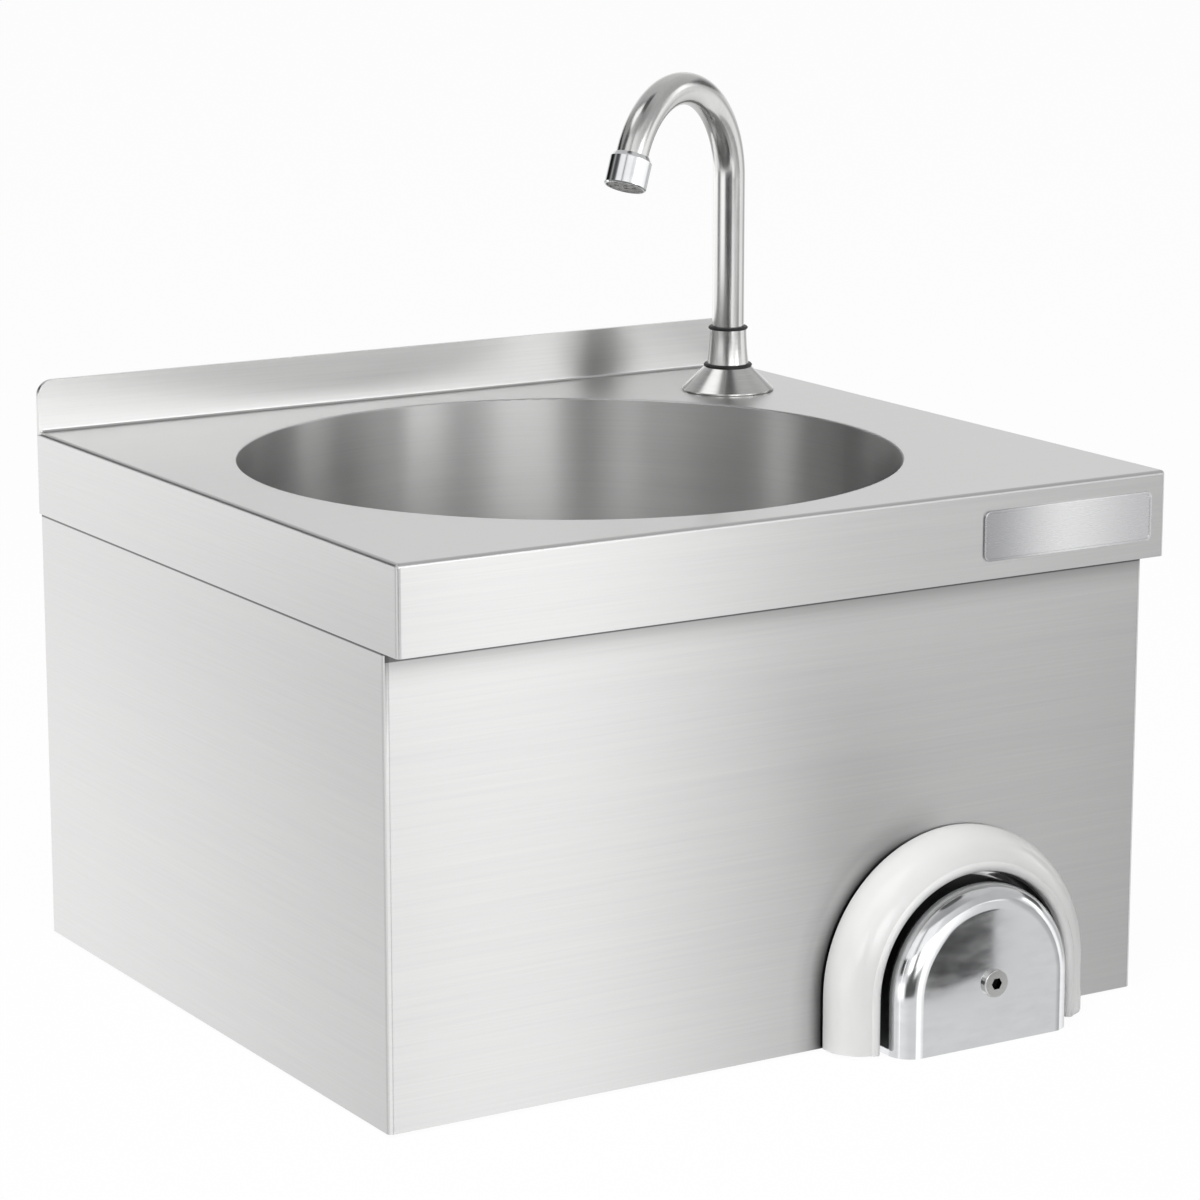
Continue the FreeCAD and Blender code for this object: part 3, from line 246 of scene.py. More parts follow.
def levels_along(tree, value, stops, unit=MM, full=1.0):
    """Grey levels along a value. The stops are (value in the unit, level), and full is white."""
    first, last = stops[0][0], stops[-1][0]
    share = add_node(tree, "ShaderNodeMapRange", inputs={
        "Value": value, "From Min": first * unit, "From Max": last * unit})
    ramp = add_node(tree, "ShaderNodeValToRGB", inputs={"Fac": share})
    elements = ramp.color_ramp.elements
    while len(elements) < len(stops):
        elements.new(0.5)
    for element, (place, level) in zip(elements, stops):
        element.position = (place - first) / (last - first)
        element.color = (level / full, level / full, level / full, 1)
    return ramp


def faces_sideways(tree):
    """1 on the faces that look left or right, and 0 on the others."""
    normal = add_node(tree, "ShaderNodeNewGeometry").outputs["Normal"]
    across = add_node(tree, "ShaderNodeSeparateXYZ", inputs={"Vector": normal}).outputs["X"]
    size = add_node(tree, "ShaderNodeMath", {"operation": "ABSOLUTE"}, {0: across})
    return add_node(tree, "ShaderNodeMath", {"operation": "GREATER_THAN"}, {0: size, 1: SIDEWAYS})


def darken(finish, share_of):
    """Blends a finish towards black by the share that share_of makes."""
    tree = finish.node_tree
    shader = next(node for node in tree.nodes if node.type == "BSDF_PRINCIPLED")
    colour = shader.inputs["Base Color"].links[0].from_socket
    dark = add_node(tree, "ShaderNodeMix", {"data_type": "RGBA"}, {
        "Factor": share_of(tree), "A": colour, "B": linear("#101010")})
    fill(tree, shader, {"Base Color": dark})
    return finish


# ---------------------------------------------------------------- settings

class SinkFinishSettings(bpy.types.PropertyGroup):
    """Colours and surface sizes of the sink's finishes."""
    grain_width: FloatProperty(
        name="Grain width", description="Spacing of the brushed lines, drawn wide enough to show",
        default=0.9 * MM, unit="LENGTH")
    grain_length: FloatProperty(
        name="Grain length", description="Length of one brushed line",
        default=70 * MM, unit="LENGTH")
    band_width: FloatProperty(
        name="Band width", description="Width of the soft bands that the brushing belt leaves",
        default=7 * MM, unit="LENGTH")
    sheet_roughness: FloatProperty(
        name="Sheet roughness", description="Gloss of the brushed sheet", default=0.3, min=0, max=1)
    sheet_stretch: FloatProperty(
        name="Sheet stretch", description="How far highlights stretch upright on upright sheet",
        default=0.8, min=0, max=1)
    bowl_roughness: FloatProperty(
        name="Bowl roughness", description="Gloss of the bowl, whose highlights stretch upright",
        default=0.33, min=0, max=1)
    tube_roughness: FloatProperty(
        name="Tube roughness", description="Gloss of the satin spout", default=0.18, min=0, max=1)
    chrome_roughness: FloatProperty(
        name="Chrome roughness", description="Gloss of the polished push", default=0.08, min=0, max=1)


class SinkPlateSettings(bpy.types.PropertyGroup):
    """Sizes of the bare name plate on the apron."""
    width: FloatProperty(name="Width", description="Plate's length", default=94 * MM, unit="LENGTH")
    height: FloatProperty(name="Height", description="Plate's height", default=23.1 * MM, unit="LENGTH")
    thickness: FloatProperty(
        name="Thickness", description="How far the plate stands proud", default=1.2 * MM, unit="LENGTH")
    corner_radius: FloatProperty(
        name="Corner radius", description="Radius of the plate's corners", default=3.2 * MM,
        unit="LENGTH")
    rim_width: FloatProperty(
        name="Rim width", description="Width of the rim round the plate's face", default=1.1 * MM,
        unit="LENGTH")
    rim_step: FloatProperty(
        name="Rim step", description="Width and depth of the step inside the rim",
        default=0.25 * MM, unit="LENGTH")
    edge_bevel: FloatProperty(
        name="Edge bevel", description="Width of the bevel round the plate's front",
        default=0.45 * MM, unit="LENGTH")
    side_inset: FloatProperty(
        name="Side inset", description="Sink's right side to the plate", default=8.7 * MM, unit="LENGTH")
    drop: FloatProperty(
        name="Drop", description="Deck's top to the plate's upper edge", default=8.7 * MM, unit="LENGTH")


class SinkLinerSettings(bpy.types.PropertyGroup):
    """Sizes of the rubber liner in the gap round the push."""
    gap: FloatProperty(
        name="Gap", description="Push's side to the surround's bore", default=4 * MM, unit="LENGTH")
    thickness: FloatProperty(
        name="Thickness", description="Liner's wall", default=0.9 * MM, unit="LENGTH")
    depth: FloatProperty(
        name="Depth", description="Length of the liner's sleeve, out from the panel",
        default=17 * MM, unit="LENGTH")
    side_clearance: FloatProperty(
        name="Side clearance", description="Liner to the surround's bore", default=0.05 * MM,
        unit="LENGTH")
    end_clearance: FloatProperty(
        name="End clearance", description="Liner to the panel, and to the casing's lower edge",
        default=0.2 * MM, unit="LENGTH")


class SinkStageSettings(bpy.types.PropertyGroup):
    """Floor, lights and surroundings."""
    floor_colour: FloatVectorProperty(
        name="Floor colour", description="Colour of the pale floor", subtype="COLOR", size=4,
        min=0, max=1, default=linear("#F4F4F4"))
    floor_size: FloatProperty(
        name="Floor size", description="Side of the square floor", default=12.0, unit="LENGTH")
    key_power: FloatProperty(
        name="Key light", description="Power of the large light at the upper left", default=52.0,
        unit="POWER")
    fill_power: FloatProperty(
        name="Fill light", description="Power of the light at the right", default=1.0, unit="POWER")
    world_strength: FloatProperty(
        name="Surroundings", description="Brightness of the surroundings", default=0.18, min=0)


# ---------------------------------------------------------------- finishes

def brushed_sheet(settings, name):
    """Belt-brushed 304 stainless sheet: long fine lines along the sheet, satin, with soft bands.

    The lines run along the width on the front and on the deck, and along the depth on the
    side faces, because the casing is folded from one brushed sheet.
    """
    finish, tree, shader = new_finish(name)
    on_side = faces_sideways(tree)
    grain, streak, band = (
        size / MM for size in (settings.grain_width, settings.grain_length, settings.band_width))
    lines = add_node(tree, "ShaderNodeMix", inputs={
        "Factor": on_side,
        "A": stretch_noise(tree, (streak, grain, grain)),
        "B": stretch_noise(tree, (grain, streak, grain))})
    bands = add_node(tree, "ShaderNodeMix", inputs={
        "Factor": on_side,
        "A": stretch_noise(tree, (5 * streak, band, band)),
        "B": stretch_noise(tree, (band, 5 * streak, band))})
    shade = add_node(tree, "ShaderNodeMix", inputs={"Factor": BAND_SHARE, "A": lines, "B": bands})
    normal = add_node(tree, "ShaderNodeNewGeometry").outputs["Normal"]
    rise = add_node(tree, "ShaderNodeSeparateXYZ", inputs={"Vector": normal}).outputs["Z"]
    upright = add_node(tree, "ShaderNodeMath", {"operation": "GREATER_THAN"}, {0: UP, 1: rise})
    gloss = settings.sheet_roughness
    fill(tree, shader, {
        "Base Color": between(tree, shade, linear("#C5C5C5"), linear("#CDCDCC")),
        "Metallic": 1.0,
        "Roughness": between(tree, shade, gloss - 0.02, gloss + 0.02),
        "Anisotropic": add_node(tree, "ShaderNodeMath", {"operation": "MULTIPLY"}, {
            0: upright, 1: settings.sheet_stretch}),
        "Anisotropic Rotation": HIGHLIGHT_TURN,
        "Tangent": add_node(tree, "ShaderNodeTangent", {"direction_type": "RADIAL", "axis": "Z"}),
        "Normal": add_node(tree, "ShaderNodeBump", inputs={
            "Height": lines, "Distance": 0.01 * MM, "Strength": 0.08}),
    })
    return finish


def casing_shadow(tree):
    """Share of black on the casing: soft shadows under the apron and left of the push's surround."""
    place = add_node(tree, "ShaderNodeTexCoord").outputs["Object"]
    parts = add_node(tree, "ShaderNodeSeparateXYZ", inputs={"Vector": place}).outputs
    under = add_node(tree, "ShaderNodeMix", inputs={
        "Factor": faces_sideways(tree),
        "A": levels_along(tree, parts["Z"], SHADOW_UNDER_APRON),
        "B": levels_along(tree, parts["Z"], SHADOW_ON_SIDES)})
    low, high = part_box("knee_surround")
    radius = (high.x - low.x) / 2
    across = add_node(tree, "ShaderNodeMath", {"operation": "SUBTRACT"}, {
        0: parts["X"], 1: low.x + radius})
    rise = add_node(tree, "ShaderNodeMath", {"operation": "SUBTRACT"}, {
        0: parts["Z"], 1: high.z - radius})
    above = add_node(tree, "ShaderNodeMath", {"operation": "MAXIMUM"}, {0: rise, 1: 0.0})
    offset = add_node(tree, "ShaderNodeCombineXYZ", inputs={"X": across, "Z": above})
    length = add_node(tree, "ShaderNodeVectorMath", {"operation": "LENGTH"}, {0: offset})
    outside = add_node(tree, "ShaderNodeMath", {"operation": "SUBTRACT"}, {0: length, 1: radius})
    to_left = add_node(tree, "ShaderNodeMapRange", {"interpolation_type": "SMOOTHSTEP"}, {
        "Value": across, "From Min": radius * SHADOW_STARTS, "From Max": radius * SHADOW_IS_FULL})
    beside = add_node(tree, "ShaderNodeMath", {"operation": "MULTIPLY"}, {
        0: levels_along(tree, outside, SHADOW_BY_SURROUND), 1: to_left})
    return add_node(tree, "ShaderNodeMath", {"operation": "MAXIMUM"}, {0: under, 1: beside})


def brushed_bowl(settings):
    """Spun and brushed stainless bowl: lines run round the wall and in rings on the floor."""
    finish, tree, shader = new_finish("Spun stainless bowl")
    low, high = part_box("bowl")
    centre = (low + high) / 2
    place = add_node(tree, "ShaderNodeTexCoord").outputs["Object"]
    centred = add_node(tree, "ShaderNodeMapping", inputs={
        "Vector": place, "Location": (-centre.x, -centre.y, 0)})
    parts = add_node(tree, "ShaderNodeSeparateXYZ", inputs={"Vector": centred}).outputs
    flat = {"X": parts["X"], "Y": parts["Y"]}
    radius = add_node(tree, "ShaderNodeVectorMath", {"operation": "LENGTH"}, {
        0: add_node(tree, "ShaderNodeCombineXYZ", inputs=flat)})
    rise = add_node(tree, "ShaderNodeMath", {"operation": "ADD"}, {0: parts["Z"], 1: radius})
    unrolled = add_node(tree, "ShaderNodeCombineXYZ", inputs={**flat, "Z": rise})
    grain, streak, band = (
        size / MM for size in (settings.grain_width, settings.grain_length, settings.band_width))
    lines = stretch_noise(tree, (streak, streak, grain), place=unrolled)
    bands = stretch_noise(tree, (3 * streak, 3 * streak, band), place=unrolled)
    shade = add_node(tree, "ShaderNodeMix", inputs={"Factor": BAND_SHARE, "A": lines, "B": bands})
    gloss = settings.bowl_roughness
    fill(tree, shader, {
        "Base Color": between(tree, shade, linear("#C8C8C8"), linear("#CFCFCE")),
        "Metallic": 1.0,
        "Roughness": between(tree, shade, gloss - 0.02, gloss + 0.02),
        "Anisotropic": 1.0,
        "Anisotropic Rotation": HIGHLIGHT_TURN,
        "Tangent": add_node(tree, "ShaderNodeTangent", {"direction_type": "RADIAL", "axis": "Z"}),
    })
    return finish


def satin_steel(name, grain_mm, roughness):
    """Satin stainless, turned or drawn: fine lines the way the tool ran, softly glossy."""
    finish, tree, shader = new_finish(name)
    lines = stretch_noise(tree, grain_mm)
    clouds = stretch_noise(tree, (16.7, 16.7, 16.7), detail=2)
    shade = add_node(tree, "ShaderNodeMix", inputs={"Factor": 0.4, "A": lines, "B": clouds})
    fill(tree, shader, {
        "Base Color": between(tree, shade, linear("#C2C2C1"), linear("#CECECD")),
        "Metallic": 1.0,
        "Roughness": between(tree, shade, roughness - 0.02, roughness + 0.03),
        "Normal": add_node(tree, "ShaderNodeBump", inputs={
            "Height": lines, "Distance": 0.01 * MM, "Strength": 0.08}),
    })
    return finish


def painted_socket_shade(tree):
    """Share of black on the push's screw: painted shade inside its hexagon socket."""
    low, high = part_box("push_screw")
    middle = (low + high) / 2
    place = add_node(tree, "ShaderNodeTexCoord").outputs["Object"]
    depth = add_node(tree, "ShaderNodeSeparateXYZ", inputs={"Vector": place}).outputs["Y"]
    flat = add_node(tree, "ShaderNodeMapping", inputs={
        "Vector": place, "Location": (-middle.x, 0, -middle.z), "Scale": (1, 0, 1)})
    from_axis = add_node(tree, "ShaderNodeVectorMath", {"operation": "LENGTH"}, {0: flat})
    near_axis = add_node(tree, "ShaderNodeMath", {"operation": "GREATER_THAN"}, {
        0: SOCKET_RADIUS_MM * MM, 1: from_axis})
    behind_face = add_node(tree, "ShaderNodeMath", {"operation": "GREATER_THAN"}, {
        0: depth, 1: low.y + SOCKET_START_MM * MM})
    return add_node(tree, "ShaderNodeMath", {"operation": "MULTIPLY"}, {0: behind_face, 1: near_axis})


def polished_chrome(settings):
    """Polished chrome plate: a mirror, with faint wiping marks in its gloss."""
    finish, tree, shader = new_finish("Polished chrome plate")
    smears = stretch_noise(tree, (22.2, 22.2, 8.33), detail=4)
    gloss = settings.chrome_roughness
    fill(tree, shader, {
        "Base Color": between(tree, smears, linear("#D6D7D9"), linear("#E2E3E4")),
        "Metallic": 1.0,
        "Roughness": between(tree, smears, gloss * 0.6, gloss * 1.8),
    })
    return finish


def moulded_gloss():
    """White gloss ABS moulding: smooth, with a very slight flow ripple and light handling marks."""
    finish, tree, shader = new_finish("White gloss ABS")
    flow = stretch_noise(tree, (45.5, 45.5, 45.5), detail=1)
    marks = stretch_noise(tree, (3.33, 3.33, 3.33), detail=5)
    fill(tree, shader, {
        "Base Color": between(tree, flow, linear("#EBEBEA"), linear("#F1F1F0")),
        "Roughness": between(tree, marks, 0.2, 0.23),
        "IOR": 1.53,
        "Coat Weight": 0.3,
        "Coat Roughness": 0.12,
        "Normal": add_node(tree, "ShaderNodeBump", inputs={
            "Height": flow, "Distance": 0.05 * MM, "Strength": 0.05}),
    })
    return finish


def moulded_rubber():
    """Black EPDM rubber: nearly matt, with the fine grain of its mould. All rubber shares it."""
    made = bpy.data.materials.get("Black EPDM rubber")
    if made:
        return made
    finish, tree, shader = new_finish("Black EPDM rubber")
    grain = stretch_noise(tree, (0.714, 0.714, 0.714), detail=2)
    fill(tree, shader, {
        "Base Color": between(tree, grain, linear("#0C0C0D"), linear("#1B1B1C")),
        "Roughness": between(tree, grain, 0.42, 0.6),
        "IOR": 1.52,
        "Normal": add_node(tree, "ShaderNodeBump", inputs={
            "Height": grain, "Distance": 0.03 * MM, "Strength": 0.3}),
    })
    return finish


def machined_brass():
    """Machined brass: warm, with fine tool marks and slightly dulled patches."""
    finish, tree, shader = new_finish("Machined brass")
    tooling = stretch_noise(tree, (4, 0.714, 0.714))
    dulling = stretch_noise(tree, (14.3, 14.3, 14.3), detail=4)
    clean = between(tree, tooling, linear("#C9A45C"), linear("#D8B871"))
    fill(tree, shader, {
        "Base Color": between(tree, dulling, clean, linear("#9C7A42"), most=0.45),
        "Metallic": 1.0,
        "Roughness": between(tree, dulling, 0.24, 0.42),
        "Normal": add_node(tree, "ShaderNodeBump", inputs={
            "Height": tooling, "Distance": 0.02 * MM, "Strength": 0.3}),
    })
    return finish


def moulded_polypropylene():
    """White polypropylene waste fittings: soft sheen and a fine spark-eroded grain."""
    finish, tree, shader = new_finish("White polypropylene")
    grain = stretch_noise(tree, (1.11, 1.11, 1.11), detail=2)
    fill(tree, shader, {
        "Base Color": between(tree, grain, linear("#DAD9D5"), linear("#E7E6E2")),
        "Roughness": between(tree, grain, 0.38, 0.5),
        "IOR": 1.49,
        "Normal": add_node(tree, "ShaderNodeBump", inputs={
            "Height": grain, "Distance": 0.04 * MM, "Strength": 0.3}),
    })
    return finish


def satin_plate(left, right):
    """Satin aluminium name plate: fine level grain, with a painted sheen that is lightest in its middle.
    """
    finish, tree, shader = new_finish("Satin aluminium plate")
    place = add_node(tree, "ShaderNodeTexCoord").outputs["Object"]
    along = add_node(tree, "ShaderNodeSeparateXYZ", inputs={"Vector": place}).outputs["X"]
    share = add_node(tree, "ShaderNodeMapRange", inputs={
        "Value": along, "From Min": left, "From Max": right})
    # Painted sheen: darker at the left end, lightest in the middle, lighter again at the right.
    painted_sheen = add_node(tree, "ShaderNodeValToRGB", inputs={"Fac": share})
    painted_sheen.color_ramp.interpolation = "EASE"
    elements = painted_sheen.color_ramp.elements
    elements[0].color, elements[1].color = linear("#AEAEB1"), linear("#D6D6D8")
    elements.new(0.5).color = linear("#F4F4F5")
    lines = stretch_noise(tree, (25, 1.11, 1.11))
    fill(tree, shader, {
        "Base Color": painted_sheen,
        "Metallic": 1.0,
        "Roughness": between(tree, lines, 0.26, 0.28),
        "Normal": add_node(tree, "ShaderNodeBump", inputs={
            "Height": lines, "Distance": 0.01 * MM, "Strength": 0.03}),
    })
    return finish


# ---------------------------------------------------------------- operators

class SINK_OT_sheet_metal(bpy.types.Operator):
    """Brushed stainless on the worktop, casing and brackets, and on the spun bowl"""
    bl_idname = "sink.sheet_metal"
    bl_label = "Finish Sheet Metal"

    def execute(self, context):
        settings = context.scene.sink_finish
        give_finish(brushed_sheet(settings, "Brushed stainless sheet"), SHEET_STEEL)
        casing = brushed_sheet(settings, "Brushed stainless casing")
        give_finish(darken(casing, casing_shadow), ["casing"])
        give_finish(brushed_bowl(settings), ["bowl"])
        return {"FINISHED"}


class SINK_OT_tap(bpy.types.Operator):
    """Satin steel on the tap, the waste, the spring and the push's screw and spindle"""
    bl_idname = "sink.tap"
    bl_label = "Finish Tap"

    def execute(self, context):
        settings = context.scene.sink_finish
        turned = satin_steel("Satin turned stainless", TURNED_GRAIN_MM, settings.tube_roughness)
        drawn = satin_steel("Satin drawn stainless tube", DRAWN_GRAIN_MM, settings.tube_roughness)
        give_finish(turned, TURNED_STEEL + WASTE_STEEL + ["return_spring"])
        give_finish(drawn, DRAWN_TUBE)
        screw = satin_steel("Satin screw steel", TURNED_GRAIN_MM, settings.tube_roughness)
        # The screw's hexagon socket gets painted shade, black inside.
        give_finish(darken(screw, painted_socket_shade), ["push_screw"])
        return {"FINISHED"}


class SINK_OT_knee_push(bpy.types.Operator):
    """Chrome on the push and aerator, gloss white on the surround, and the spring's own copy of its mesh
    """
    bl_idname = "sink.knee_push"
    bl_label = "Finish Knee Push"

    def execute(self, context):
        give_finish(polished_chrome(context.scene.sink_finish), MIRROR_CHROME)
        give_finish(moulded_gloss(), ["knee_surround"])
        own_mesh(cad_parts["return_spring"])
        return {"FINISHED"}


class SINK_OT_plumbing(bpy.types.Operator):
    """Brass, rubber and white plastic on the fittings under the bowl"""
    bl_idname = "sink.plumbing"
    bl_label = "Finish Plumbing"

    def execute(self, context):
        give_finish(machined_brass(), MACHINED_BRASS)
        give_finish(moulded_rubber(), RUBBER)
        give_finish(moulded_polypropylene(), MOULDED_PLASTIC)
        return {"FINISHED"}


class SINK_OT_name_plate(bpy.types.Operator):
    """Bare plate with rounded corners and a bevelled rim on the apron"""
    bl_idname = "sink.name_plate"
    bl_label = "Add Name Plate"

    def execute(self, context):
        plate = context.scene.sink_plate
        low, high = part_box("worktop")
        right = high.x - plate.side_inset
        centre = Vector((
            right - plate.width / 2, low.y - plate.thickness / 2, -plate.drop - plate.height / 2))
        shape = bmesh.new()
        bmesh.ops.create_cube(shape, size=1)
        bmesh.ops.scale(shape, vec=(plate.width, plate.thickness, plate.height), verts=shape.verts)
        corners = [edge for edge in shape.edges if abs((edge.verts[0].co - edge.verts[1].co).y) > 1e-6]
        bmesh.ops.bevel(shape, geom=corners, offset=plate.corner_radius, segments=8,
                        affect="EDGES", profile=0.5, material=-1)
        front = [face for face in shape.faces if face.normal.y < -0.9]
        rim = bmesh.ops.inset_region(shape, faces=front, thickness=plate.rim_width, depth=0)
        front = [face for face in shape.faces if face.normal.y < -0.9 and face not in rim["faces"]]
        bmesh.ops.inset_region(shape, faces=front, thickness=plate.rim_step, depth=-plate.rim_step)
        edges = [edge for edge in shape.edges
                 if all(vert.co.y < -plate.thickness / 2 + 1e-6 for vert in edge.verts)
                 and any(face.normal.y > -0.5 for face in edge.link_faces)]
        bmesh.ops.bevel(shape, geom=edges, offset=plate.edge_bevel, segments=2,
                        affect="EDGES", profile=0.5, material=-1)
        bmesh.ops.translate(shape, vec=centre, verts=shape.verts)
        # The plate's sheen is painted on, lightest in its middle.
        finish = satin_plate(right - plate.width, right)
        new_piece(shape, "name_plate", finish, "basin")
        return {"FINISHED"}


class SINK_OT_gap_liner(bpy.types.Operator):
    """Thin black rubber sleeve that lines the surround's bore and darkens the gap: partly a black
    lining, partly standing in for the shade deep in the gap
    """
    bl_idname = "sink.gap_liner"
    bl_label = "Add Gap Liner"

    def execute(self, context):
        liner = context.scene.sink_liner
        cap_low, cap_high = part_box("push_cap")
        casing_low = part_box("casing")[0]
        push_radius = (cap_high.x - cap_low.x) / 2
        middle = Vector((cap_low.x + push_radius, 0, cap_high.z - push_radius))
        outer = push_radius + liner.gap - liner.side_clearance
        inner = outer - liner.thickness
        back = casing_low.y - liner.end_clearance
        front = back - liner.depth
        foot = casing_low.z + liner.end_clearance
        # The sleeve's black stands partly for the shade deep in the gap round the push.
        shape = bmesh.new()
        section = shape.faces.new([
            shape.verts.new((middle.x - radius, y, foot))
            for radius, y in ((outer, back), (inner, back), (inner, front), (outer, front))])
        rise = Vector((0, 0, middle.z - foot))
        grown = bmesh.ops.extrude_face_region(shape, geom=[section])["geom"]
        moved = [part for part in grown if isinstance(part, bmesh.types.BMVert)]
        bmesh.ops.translate(shape, vec=rise, verts=moved)
        top = [part for part in grown if isinstance(part, bmesh.types.BMFace)]
        turned = bmesh.ops.spin(shape, geom=top, cent=middle, axis=(0, 1, 0), angle=math.pi, steps=48)
        end = [part for part in turned["geom_last"] if isinstance(part, bmesh.types.BMFace)]
        grown = bmesh.ops.extrude_face_region(shape, geom=end)["geom"]
        moved = [part for part in grown if isinstance(part, bmesh.types.BMVert)]
        bmesh.ops.translate(shape, vec=-rise, verts=moved)
        inside = [face for face in shape.faces if all(len(edge.link_faces) > 2 for edge in face.edges)]
        bmesh.ops.delete(shape, geom=inside, context="FACES_ONLY")
        new_piece(shape, "gap_liner", moulded_rubber(), "basin")
        return {"FINISHED"}


class SINK_OT_stage(bpy.types.Operator):
    """Pale floor, soft lights, surroundings and the camera"""
    bl_idname = "sink.stage"
    bl_label = "Build Stage"

    def execute(self, context):
        stage = context.scene.sink_stage
        build_floor(stage)
        build_lights(stage)
        build_cards()
        build_surroundings(stage)
        build_camera()
        return {"FINISHED"}


# ---------------------------------------------------------------- stage

def show(tree, surface):
    """Puts another surface in place of the Principled shader."""
    output = next(node for node in tree.nodes if node.type == "OUTPUT_MATERIAL")
    fill(tree, output, {"Surface": surface})


def build_floor(stage):
    """A pale floor just under the sink, seen only from above, that keeps a faint shadow."""
    floor_level = cad_box[0].z - FLOOR_GAP_MM * MM
    shape = bmesh.new()
    bmesh.ops.create_grid(shape, x_segments=2, y_segments=2, size=stage.floor_size / 2)
    bmesh.ops.translate(shape, vec=(0, 0, floor_level), verts=shape.verts)
    mesh = bpy.data.meshes.new("Floor")
    shape.to_mesh(mesh)
    shape.free()
    finish, tree, shader = new_finish("Pale studio floor")
    fill(tree, shader, {
        "Base Color": stage.floor_colour, "Roughness": 0.9, "Specular IOR Level": 0.0})
    rays = add_node(tree, "ShaderNodeLightPath").outputs
    glow = add_node(tree, "ShaderNodeEmission", inputs={"Color": (1, 1, 1, 1), "Strength": 1.0})
    lifted = add_node(tree, "ShaderNodeMixShader", inputs={0: FLOOR_WHITENESS, 1: shader, 2: glow})
    shown = add_node(tree, "ShaderNodeMixShader", inputs={
        0: rays["Is Camera Ray"], 1: shader, 2: lifted})
    behind = add_node(tree, "ShaderNodeNewGeometry").outputs["Backfacing"]
    clear = add_node(tree, "ShaderNodeBsdfTransparent")
    show(tree, add_node(tree, "ShaderNodeMixShader", inputs={0: behind, 1: shown, 2: clear}))
    mesh.materials.append(finish)
    floor = bpy.data.objects.new("Floor", mesh)
    floor.visible_glossy = False
    bpy.context.scene.collection.objects.link(floor)


def soft_light(name, place, aim, size, power):
    """A large lamp that lights the matt parts. Bright metal mirrors the surroundings instead."""
    lamp = bpy.data.lights.new(name, "AREA")
    lamp.shape = "RECTANGLE"
    lamp.size, lamp.size_y = size
    lamp.energy = power
    light = bpy.data.objects.new(name, lamp)
    light.location = place
    light.rotation_euler = (Vector(aim) - Vector(place)).to_track_quat("-Z", "Y").to_euler()
    light.visible_glossy = False
    bpy.context.scene.collection.objects.link(light)


def build_lights(stage):
    """Two large soft lamps: one at the upper left in front, one at the right."""
    middle = (cad_box[0] + cad_box[1]) / 2
    soft_light("Key light", place=(-0.95, -1.1, 2.0), aim=middle, size=(1.4, 1.4),
               power=stage.key_power)
    soft_light("Fill light", place=(1.6, -0.9, 0.8), aim=middle, size=(1.0, 1.4),
               power=stage.fill_power)


def card(name, corners_mm, axis, stops):
    """A flat panel of graded brightness that only shiny surfaces see, as a studio reflector.
    The stops are (place in mm along the axis, level).
    """
    shape = bmesh.new()
    shape.faces.new([shape.verts.new(Vector(corner) * MM) for corner in corners_mm])
    mesh = bpy.data.meshes.new(name)
    shape.to_mesh(mesh)
    shape.free()
    finish, tree, _ = new_finish(name)
    place = add_node(tree, "ShaderNodeTexCoord").outputs["Object"]
    along = add_node(tree, "ShaderNodeSeparateXYZ", inputs={"Vector": place}).outputs[axis]
    level = levels_along(tree, along, stops, full=BRIGHTEST)
    show(tree, add_node(tree, "ShaderNodeEmission", inputs={"Color": level, "Strength": BRIGHTEST}))
    mesh.materials.append(finish)
    panel = bpy.data.objects.new(name, mesh)
    for rays in ("camera", "diffuse", "transmission", "shadow"):
        setattr(panel, "visible_" + rays, False)
    bpy.context.scene.collection.objects.link(panel)


def build_cards():
    """Reflectors that grade the front, the left side and the push's polished face."""
    card("Front reflector",
         [(30, -800, -1400), (1100, -800, -1400), (1100, -800, 15), (30, -800, 15)], "X",
         [(30, 1.0), (60, 1.5), (170, 1.55), (270, 1.1), (335, 0.84), (400, 0.82), (530, 0.8),
          (620, 0.62), (1100, 0.5)])
    card("Side reflector",
         [(-520, -300, -1400), (-520, 1600, -1400), (-520, 1600, -75), (-520, -300, -75)], "Y",
         [(-300, 0.9), (211, 0.96), (450, 1.2), (690, 1.42), (1600, 1.42)])
    card("Corner reflector",
         [(-330, -420, -700), (-190, -420, -700), (-190, -420, -80), (-330, -420, -80)], "X",
         [(-330, 1.4), (-190, 1.4)])
    card("Push flag",
         [(212, -600, -312), (260, -600, -303), (260, -600, -232), (190, -600, -232)], "X",
         [(190, 0.07), (260, 0.11)])


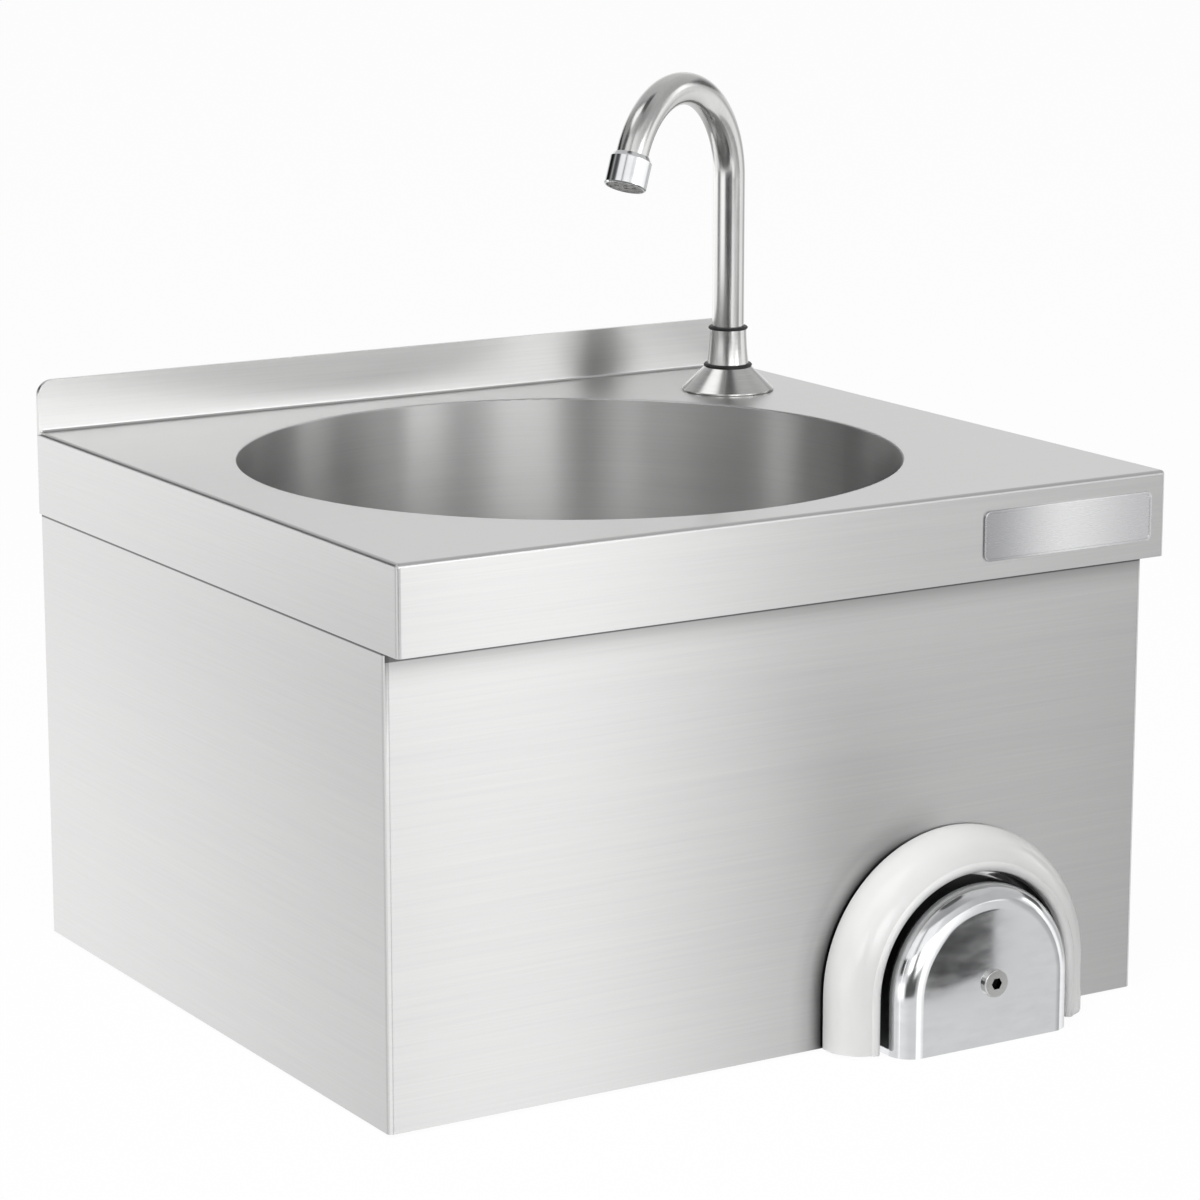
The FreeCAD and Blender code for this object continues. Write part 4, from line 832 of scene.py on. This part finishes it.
def build_surroundings(stage):
    """White to the camera and a plain level for matt parts. What shines sees a studio with light
    and dark walls, and not the white background.
    """
    world = bpy.data.worlds.new("Studio")
    bpy.context.scene.world = world
    world.use_nodes = True
    tree = world.node_tree
    tree.nodes.clear()
    rays = add_node(tree, "ShaderNodeLightPath").outputs
    direction = add_node(tree, "ShaderNodeTexCoord").outputs["Generated"]
    parts = add_node(tree, "ShaderNodeSeparateXYZ", inputs={"Vector": direction}).outputs
    bearing = add_node(tree, "ShaderNodeMath", {"operation": "ARCTAN2"}, {
        0: parts["X"], 1: parts["Y"]})
    shell = (0, 0, 0, 1)
    for low, high, stops in STUDIO_RINGS:
        height = add_node(tree, "ShaderNodeMapRange", {"interpolation_type": "SMOOTHSTEP"}, {
            "Value": parts["Z"], "From Min": low, "From Max": high})
        walls = levels_along(tree, bearing, stops, math.radians(1), BRIGHTEST)
        shell = add_node(tree, "ShaderNodeMix", {"data_type": "RGBA"}, {
            "Factor": height, "A": shell, "B": walls})
    plain = add_node(tree, "ShaderNodeBackground", inputs={
        "Color": (1, 1, 1, 1), "Strength": stage.world_strength})
    room = add_node(tree, "ShaderNodeBackground", inputs={"Color": shell, "Strength": BRIGHTEST})
    white = add_node(tree, "ShaderNodeBackground", inputs={"Color": (1, 1, 1, 1), "Strength": 1.0})
    lit = add_node(tree, "ShaderNodeMixShader", inputs={
        0: rays["Is Glossy Ray"], 1: plain, 2: room})
    seen = add_node(tree, "ShaderNodeMixShader", inputs={
        0: rays["Is Camera Ray"], 1: lit, 2: white})
    add_node(tree, "ShaderNodeOutputWorld", inputs={"Surface": seen})


def build_camera():
    """The camera that the photograph was taken with, as nearly as one lens fits it."""
    lens = bpy.data.cameras.new("Camera")
    lens.lens = LENS_MM
    lens.sensor_width = SENSOR_MM
    lens.clip_start = 0.05
    lens.clip_end = 50
    camera = bpy.data.objects.new("Camera", lens)
    camera.location = Vector(CAMERA_PLACE_MM) * MM
    camera.rotation_euler = Euler((
        math.radians(90 + CAMERA_PITCH_DEG), 0, math.radians(CAMERA_YAW_DEG)))
    bpy.context.scene.collection.objects.link(camera)
    bpy.context.scene.camera = camera


# ---------------------------------------------------------------- panel and run

OPERATORS = (
    SINK_OT_sheet_metal, SINK_OT_tap, SINK_OT_knee_push, SINK_OT_plumbing,
    SINK_OT_name_plate, SINK_OT_gap_liner, SINK_OT_stage,
)
SETTINGS = (
    ("sink_finish", SinkFinishSettings),
    ("sink_plate", SinkPlateSettings),
    ("sink_liner", SinkLinerSettings),
    ("sink_stage", SinkStageSettings),
)


class SINK_PT_panel(bpy.types.Panel):
    """The sink's finishes, pieces and stage"""
    bl_idname = "SINK_PT_panel"
    bl_label = "Hand Wash Sink"
    bl_space_type = "VIEW_3D"
    bl_region_type = "UI"
    bl_category = "Sink"

    def draw(self, context):
        for operator in OPERATORS:
            self.layout.operator(operator.bl_idname)
        for name, group in SETTINGS:
            box = self.layout.box()
            box.label(text=group.__doc__)
            for setting in group.__annotations__:
                box.prop(getattr(context.scene, name), setting)


def register():
    for name, group in SETTINGS:
        bpy.utils.register_class(group)
        setattr(bpy.types.Scene, name, PointerProperty(type=group))
    for kind in (*OPERATORS, SINK_PT_panel):
        bpy.utils.register_class(kind)


def unregister():
    for kind in reversed((*OPERATORS, SINK_PT_panel)):
        bpy.utils.unregister_class(kind)
    for name, group in reversed(SETTINGS):
        delattr(bpy.types.Scene, name)
        bpy.utils.unregister_class(group)


def main():
    register()
    bpy.context.scene.view_settings.view_transform = "Standard"
    bpy.ops.sink.sheet_metal()
    bpy.ops.sink.tap()
    bpy.ops.sink.knee_push()
    bpy.ops.sink.plumbing()
    bpy.ops.sink.name_plate()
    bpy.ops.sink.gap_liner()
    bpy.ops.sink.stage()


if __name__ == "__main__":
    main()
